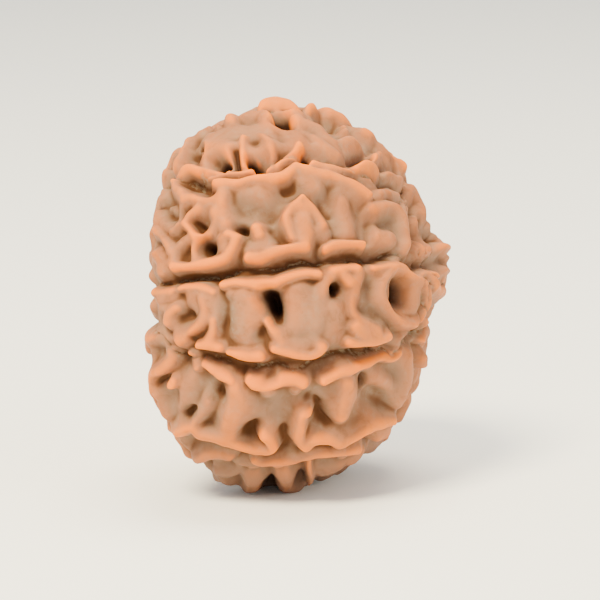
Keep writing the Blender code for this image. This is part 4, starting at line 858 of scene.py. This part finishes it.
def fading_grooves(directions, points, grooves):
    """Depth of the grooves, which fade out near the +X end."""
    from_end = np.degrees(np.arccos(np.clip(directions[:, 0], -1.0, 1.0)))
    kept = np.clip((from_end - FADE_ANGLES[0]) / (FADE_ANGLES[1] - FADE_ANGLES[0]), 0.0, 1.0)
    return kept * cut_grooves(points, grooves)


def blunt_dimple(directions):
    off_axis = np.arccos(np.clip(-directions[:, 0], -1.0, 1.0))
    return END_DIMPLE * np.exp(-(off_axis * BLUNT_HALF / END_DIMPLE_WIDTH) ** 2)


def relief(directions):
    """Height over the smooth floor along unit directions, and what the material needs to know of it."""
    grooves = groove_lines()
    hidden_ridges, hidden_pits = hidden_net(grooves)
    hidden_ridges = [calmed(*ridge) for ridge in hidden_ridges]
    front_ridges = [(height, half, squashed(run)) for height, half, run in laid(FRONT_RIDGES, RIDGE_LEVEL)]
    seams = [(SEAM_DEPTH, SEAM_WIDTH, line) for line in grooves]

    crest = on_level(directions, RIDGE_LEVEL)
    low = on_level(directions, 0.0)
    wander = WARP * np.stack([waves(low, WARP_LENGTH, seed) for seed in WARP_SEEDS], axis=1)
    lumps = sum(rise * waves(low, length, seed, LUMP_WAVES) for rise, length, seed in LUMPS)
    thickness = 1.0 + THICKNESS * waves(low, THICKNESS_LENGTH, THICKNESS_SEED)
    bars = raise_ridges(thickness, [(crest + wander, hidden_ridges),
                                    (squashed(crest + wander), front_ridges)])
    holes = sink(low + wander, hidden_pits, PIT_SHARPNESS)
    holes += sink(low + wander, laid(FRONT_PITS, PIT_LEVEL, PIT_SPREAD), PIT_SHARPNESS)
    high_holes = sink(crest + wander, laid(HIGH_PITS, HIGH_PIT_LEVEL, PIT_SPREAD), PIT_SHARPNESS)
    seam = sink(low + GROOVE_WARP * wander + SEAM_WANDER * lumps[:, None], seams, SEAM_SHARPNESS)
    height = bars + SWELL * waves(low, SWELL_LENGTH, SWELL_SEED) + lumps - holes - high_holes - seam
    height -= fading_grooves(directions, low + GROOVE_WARP * wander, grooves)
    height += soft_spots(low, SWELLINGS)
    height -= blunt_dimple(directions)
    # the pit value sets how much painted shade each pit gets
    return height, {"crest": bars, "pit": holes + HIGH_PIT_SHADE * high_holes, "seam": seam / SEAM_DEPTH,
                    "dust": soft_spots(low, DUST_PATCHES)}


def ball_mesh():
    mesh = bpy.data.meshes.new("bead_stone")
    bm = bmesh.new()
    bmesh.ops.create_icosphere(bm, subdivisions=ICOSPHERE_STEPS, radius=1.0)
    bm.to_mesh(mesh)
    bm.free()
    return mesh


def blurred(values, first, second, rounds):
    """Values averaged with their neighbours along the mesh's edges, again and again."""
    count = np.bincount(first, minlength=len(values)) + np.bincount(second, minlength=len(values))
    for _ in range(rounds):
        total = np.bincount(first, values[second], len(values))
        total += np.bincount(second, values[first], len(values))
        values = 0.5 * values + 0.5 * total / count
    return values


def make_stone(low_corner, high_corner):
    """The ridged stone in its box, its lowest crests worn flat, with the material's values on its points."""
    mesh = ball_mesh()
    directions = np.empty(len(mesh.vertices) * 3)
    mesh.vertices.foreach_get("co", directions)
    directions = unit(directions.reshape(-1, 3))
    height, values = relief(directions)
    ends = np.empty(len(mesh.edges) * 2, dtype=np.int32)
    mesh.edges.foreach_get("vertices", ends)
    first, second = ends[0::2], ends[1::2]
    fine = blurred(height, first, second, FINE_ROUNDS)
    wide = blurred(fine, first, second, WIDE_ROUNDS)
    values["stand_fine"] = height - fine
    values["stand_wide"] = fine - wide
    points = (directions * (floor_radius(directions) + height)[:, None]) @ stone_to_world().T
    middle = (points.max(axis=0) + points.min(axis=0)) / 2
    shift = np.array([(low_corner.x + high_corner.x) / 2 / MM - middle[0],
                      (low_corner.y + high_corner.y) / 2 / MM - middle[1],
                      high_corner.z / MM - points[:, 2].max()])
    points += shift
    points[:, 2] = np.maximum(points[:, 2], 0.0)
    # painted shade, growing towards the floor
    values["low"] = np.clip(LOW_STRENGTH * (1.0 - points[:, 2] / LOW_SHADE_HEIGHT), 0.0, 1.0)
    mesh.vertices.foreach_set("co", (points * MM).ravel())
    for name, value in values.items():
        layer = mesh.attributes.new(name, "FLOAT", "POINT")
        layer.data.foreach_set("value", value.astype(np.float32))
    mesh.update()
    stone = placed("bead_stone", mesh)
    modifier = stone.modifiers.new("fewer faces", "DECIMATE")
    modifier.ratio = TRIANGLES / len(mesh.polygons)
    modifier.use_collapse_triangulate = True
    mesh.shade_smooth()
    return stone, Vector(shift) * MM


class Graph:
    """Short ways to add nodes to a material."""

    def __init__(self, material):
        self.tree = material.node_tree
        self.shader = self.tree.nodes["Principled BSDF"]

    def node(self, kind, settings=(), **inputs):
        made = self.tree.nodes.new(kind)
        for key, value in dict(settings).items():
            setattr(made, key, value)
        for key, value in inputs.items():
            self.put(made.inputs[key.replace("_", " ")], value)
        return made

    def put(self, socket, value):
        if isinstance(value, bpy.types.NodeSocket):
            self.tree.links.new(value, socket)
        else:
            socket.default_value = value

    def attribute(self, name):
        return self.node("ShaderNodeAttribute", {"attribute_name": name}).outputs["Fac"]

    def noise(self, scale, detail, rough, distort):
        place = self.node("ShaderNodeTexCoord").outputs["Object"]
        made = self.node("ShaderNodeTexNoise", Vector=place, Scale=scale, Detail=detail, Roughness=rough,
                         Distortion=distort)
        return made.outputs["Fac"]

    def between(self, value, low, high):
        """0 at low, 1 at high, with a soft start and end."""
        made = self.node("ShaderNodeMapRange", {"interpolation_type": "SMOOTHSTEP"},
                         Value=value, From_Min=low, From_Max=high)
        return made.outputs["Result"]

    def worked_out(self, how, first, second):
        made = self.node("ShaderNodeMath", {"operation": how})
        self.put(made.inputs[0], first)
        self.put(made.inputs[1], second)
        return made.outputs[0]

    def plus(self, first, second):
        return self.worked_out("ADD", first, second)

    def times(self, first, second):
        return self.worked_out("MULTIPLY", first, second)

    def mixed(self, share, first, second):
        made = self.node("ShaderNodeMix", {"data_type": "RGBA", "blend_type": "MIX"})
        self.put(made.inputs["Factor"], share)
        self.put(made.inputs["A"], first)
        self.put(made.inputs["B"], second)
        return made.outputs["Result"]


def stone_colour(g, fine, wide, speckle):
    """The floor's colour with the other colours laid over it, from the slopes up to the dark painted shade
    of the pits.
    """
    blotch = g.noise(*BLOTCH_NOISE)
    mottle = g.noise(*MOTTLE_NOISE)
    standing = g.plus(wide, g.times(g.plus(blotch, -BLOTCH_MIDDLE), SLOPE_BLOTCHES))
    uneven = g.plus(g.times(fine, CREST_FINE), g.times(blotch, CREST_BLOTCHES))
    ridge_top = g.plus(g.attribute("crest"), uneven)
    valleys = g.times(g.between(wide, *VALLEY_RANGE), g.between(speckle, *VALLEY_SPECKLES))
    patches = g.times(g.attribute("dust"), g.between(speckle, *PATCH_SPECKLES))
    seams = g.times(g.between(g.attribute("seam"), *SEAM_RANGE), g.between(speckle, *SEAM_SPECKLES))
    colour = FLOOR_COLOUR
    for mask, share, over in [
            (g.between(standing, *SLOPE_RANGE), 1.0, SLOPE_COLOUR),
            (g.between(blotch, *BLOTCH_RANGE), BLOTCH_SHARE, BLOTCH_COLOUR),
            (g.between(mottle, *BROWN_RANGE), BROWN_SHARE, BROWN_AND_SHADE_COLOUR),
            (g.between(mottle, *PALE_RANGE), PALE_SHARE, DUST_COLOUR),
            (g.plus(valleys, patches), DUST_SHARE, DUST_COLOUR),
            # crests: partly their own orange, partly a painted highlight
            (g.between(ridge_top, *CREST_RANGE), 1.0, CREST_AND_HIGHLIGHT_COLOUR),
            # crevices: painted shade
            (g.between(fine, *CREVICE_SHADE_RANGE), 1.0, BROWN_AND_SHADE_COLOUR),
            (seams, SEAM_SHARE, SEAM_COLOUR),
            # towards the floor: painted shade
            (g.attribute("low"), LOW_SHADE_SHARE, LOW_SHADE_COLOUR),
            # pits: painted shade, darker where deeper
            (g.between(g.attribute("pit"), *PIT_SHADE_RANGE), 1.0, PIT_SHADE_COLOUR)]:
        colour = g.mixed(g.times(mask, share), colour, over)
    return colour


def stone_material():
    material = bpy.data.materials.new("rudraksha_stone")
    material.use_nodes = True
    g = Graph(material)
    fine = g.attribute("stand_fine")
    wide = g.attribute("stand_wide")
    speckle = g.noise(*SPECKLE_NOISE)
    valleys = g.times(g.between(wide, *ROUGH_RANGE), VALLEY_ROUGHNESS)
    rough = g.plus(valleys, g.times(speckle, SPECKLE_ROUGHNESS))
    pores = g.plus(g.times(g.noise(*GRAIN_NOISE), GRAIN_SHARE), speckle)
    bump = g.node("ShaderNodeBump", Height=pores, Strength=BUMP_STRENGTH, Distance=BUMP_DEPTH)
    for name, value in [("Base Color", stone_colour(g, fine, wide, speckle)),
                        ("Roughness", g.plus(rough, ROUGHNESS)),
                        ("Normal", bump.outputs["Normal"]),
                        ("Subsurface Weight", SUBSURFACE),
                        ("Subsurface Radius", SUBSURFACE_RADIUS),
                        ("Subsurface Scale", SUBSURFACE_SCALE),
                        ("Specular IOR Level", SPECULAR)]:
        g.put(g.shader.inputs[name], value)
    return material


def paper_material():
    material = bpy.data.materials.new("stage_paper")
    material.use_nodes = True
    shader = material.node_tree.nodes["Principled BSDF"]
    shader.inputs["Base Color"].default_value = FLOOR_PAPER
    shader.inputs["Roughness"].default_value = PAPER_ROUGHNESS
    shader.inputs["Specular IOR Level"].default_value = PAPER_SPECULAR
    return material


def level_axes():
    """Level directions to the right and towards the camera."""
    az = math.radians(CHART_AZIMUTH)
    return Vector((math.cos(az), math.sin(az), 0.0)), Vector((math.sin(az), -math.cos(az), 0.0))


def make_stage():
    """A floor that sweeps up into a backdrop behind the stone, as seen by the camera."""
    right, toward = level_axes()
    profile = [(-FLOOR_FRONT, 0.0), (SWEEP_START, 0.0)]
    for i in range(1, SWEEP_STEPS + 1):
        turn = math.radians(90.0 * i / SWEEP_STEPS)
        profile.append((SWEEP_START + SWEEP_RADIUS * math.sin(turn), SWEEP_RADIUS * (1 - math.cos(turn))))
    profile.append((SWEEP_START + SWEEP_RADIUS, WALL_HEIGHT))
    points = [right * (side * STAGE_HALF) - toward * reach + Vector((0, 0, rise))
              for reach, rise in profile for side in (-1, 1)]
    faces = [(2 * i, 2 * i + 1, 2 * i + 3, 2 * i + 2) for i in range(len(profile) - 1)]
    mesh = bpy.data.meshes.new("stage_floor")
    mesh.from_pydata([p[:] for p in points], [], faces)
    mesh.shade_smooth()
    mesh.materials.append(paper_material())
    return placed("stage_floor", mesh)


def add_light(name, place, size, power, colour, target):
    light = bpy.data.lights.new(name, "AREA")
    light.shape = "DISK"
    light.size = size
    light.energy = power
    light.color = colour
    lamp = placed(name, light)
    lamp.location = place
    lamp.rotation_euler = (target - Vector(place)).to_track_quat("-Z", "Y").to_euler()


def make_lights(middle):
    right, toward = level_axes()
    for name, (across, height, near), size, power, colour in LAMPS:
        place = middle + right * across + Vector((0, 0, height)) + toward * near
        add_light(name, place, size, power, colour, middle)
    world = bpy.data.worlds.new("studio")
    bpy.context.scene.world = world
    world.use_nodes = True
    sky = world.node_tree.nodes["Background"]
    sky.inputs["Color"].default_value = SKY_COLOUR
    sky.inputs["Strength"].default_value = SKY_STRENGTH


def make_camera(middle):
    """A long lens at the photograph's angle, with the stone where the photograph has it."""
    right, toward = level_axes()
    el = math.radians(CHART_ELEVATION)
    back = toward * math.cos(el) + Vector((0.0, 0.0, math.sin(el)))
    up = back.cross(right)
    camera = bpy.data.cameras.new("camera")
    camera.sensor_width = SENSOR_WIDTH
    camera.lens = SENSOR_WIDTH * CHART_DISTANCE / FRAME_WIDTH
    camera.clip_start = CLIP_START
    camera.clip_end = CLIP_END
    eye = placed("camera", camera)
    aim = middle - right * (MIDDLE_OFFSET[0] * MM) - up * (MIDDLE_OFFSET[1] * MM)
    turned = Matrix((right, up, back)).transposed().to_4x4()
    turned.translation = aim + back * CHART_DISTANCE * MM
    eye.matrix_world = turned
    bpy.context.scene.camera = eye


cad_low, cad_high = (Vector(corner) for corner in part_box("bead"))
stone, middle = make_stone(cad_low, cad_high)
stone.data.materials.append(stone_material())
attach(stone, "root")
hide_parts("bead")
make_stage()
make_lights(middle)
make_camera(middle)
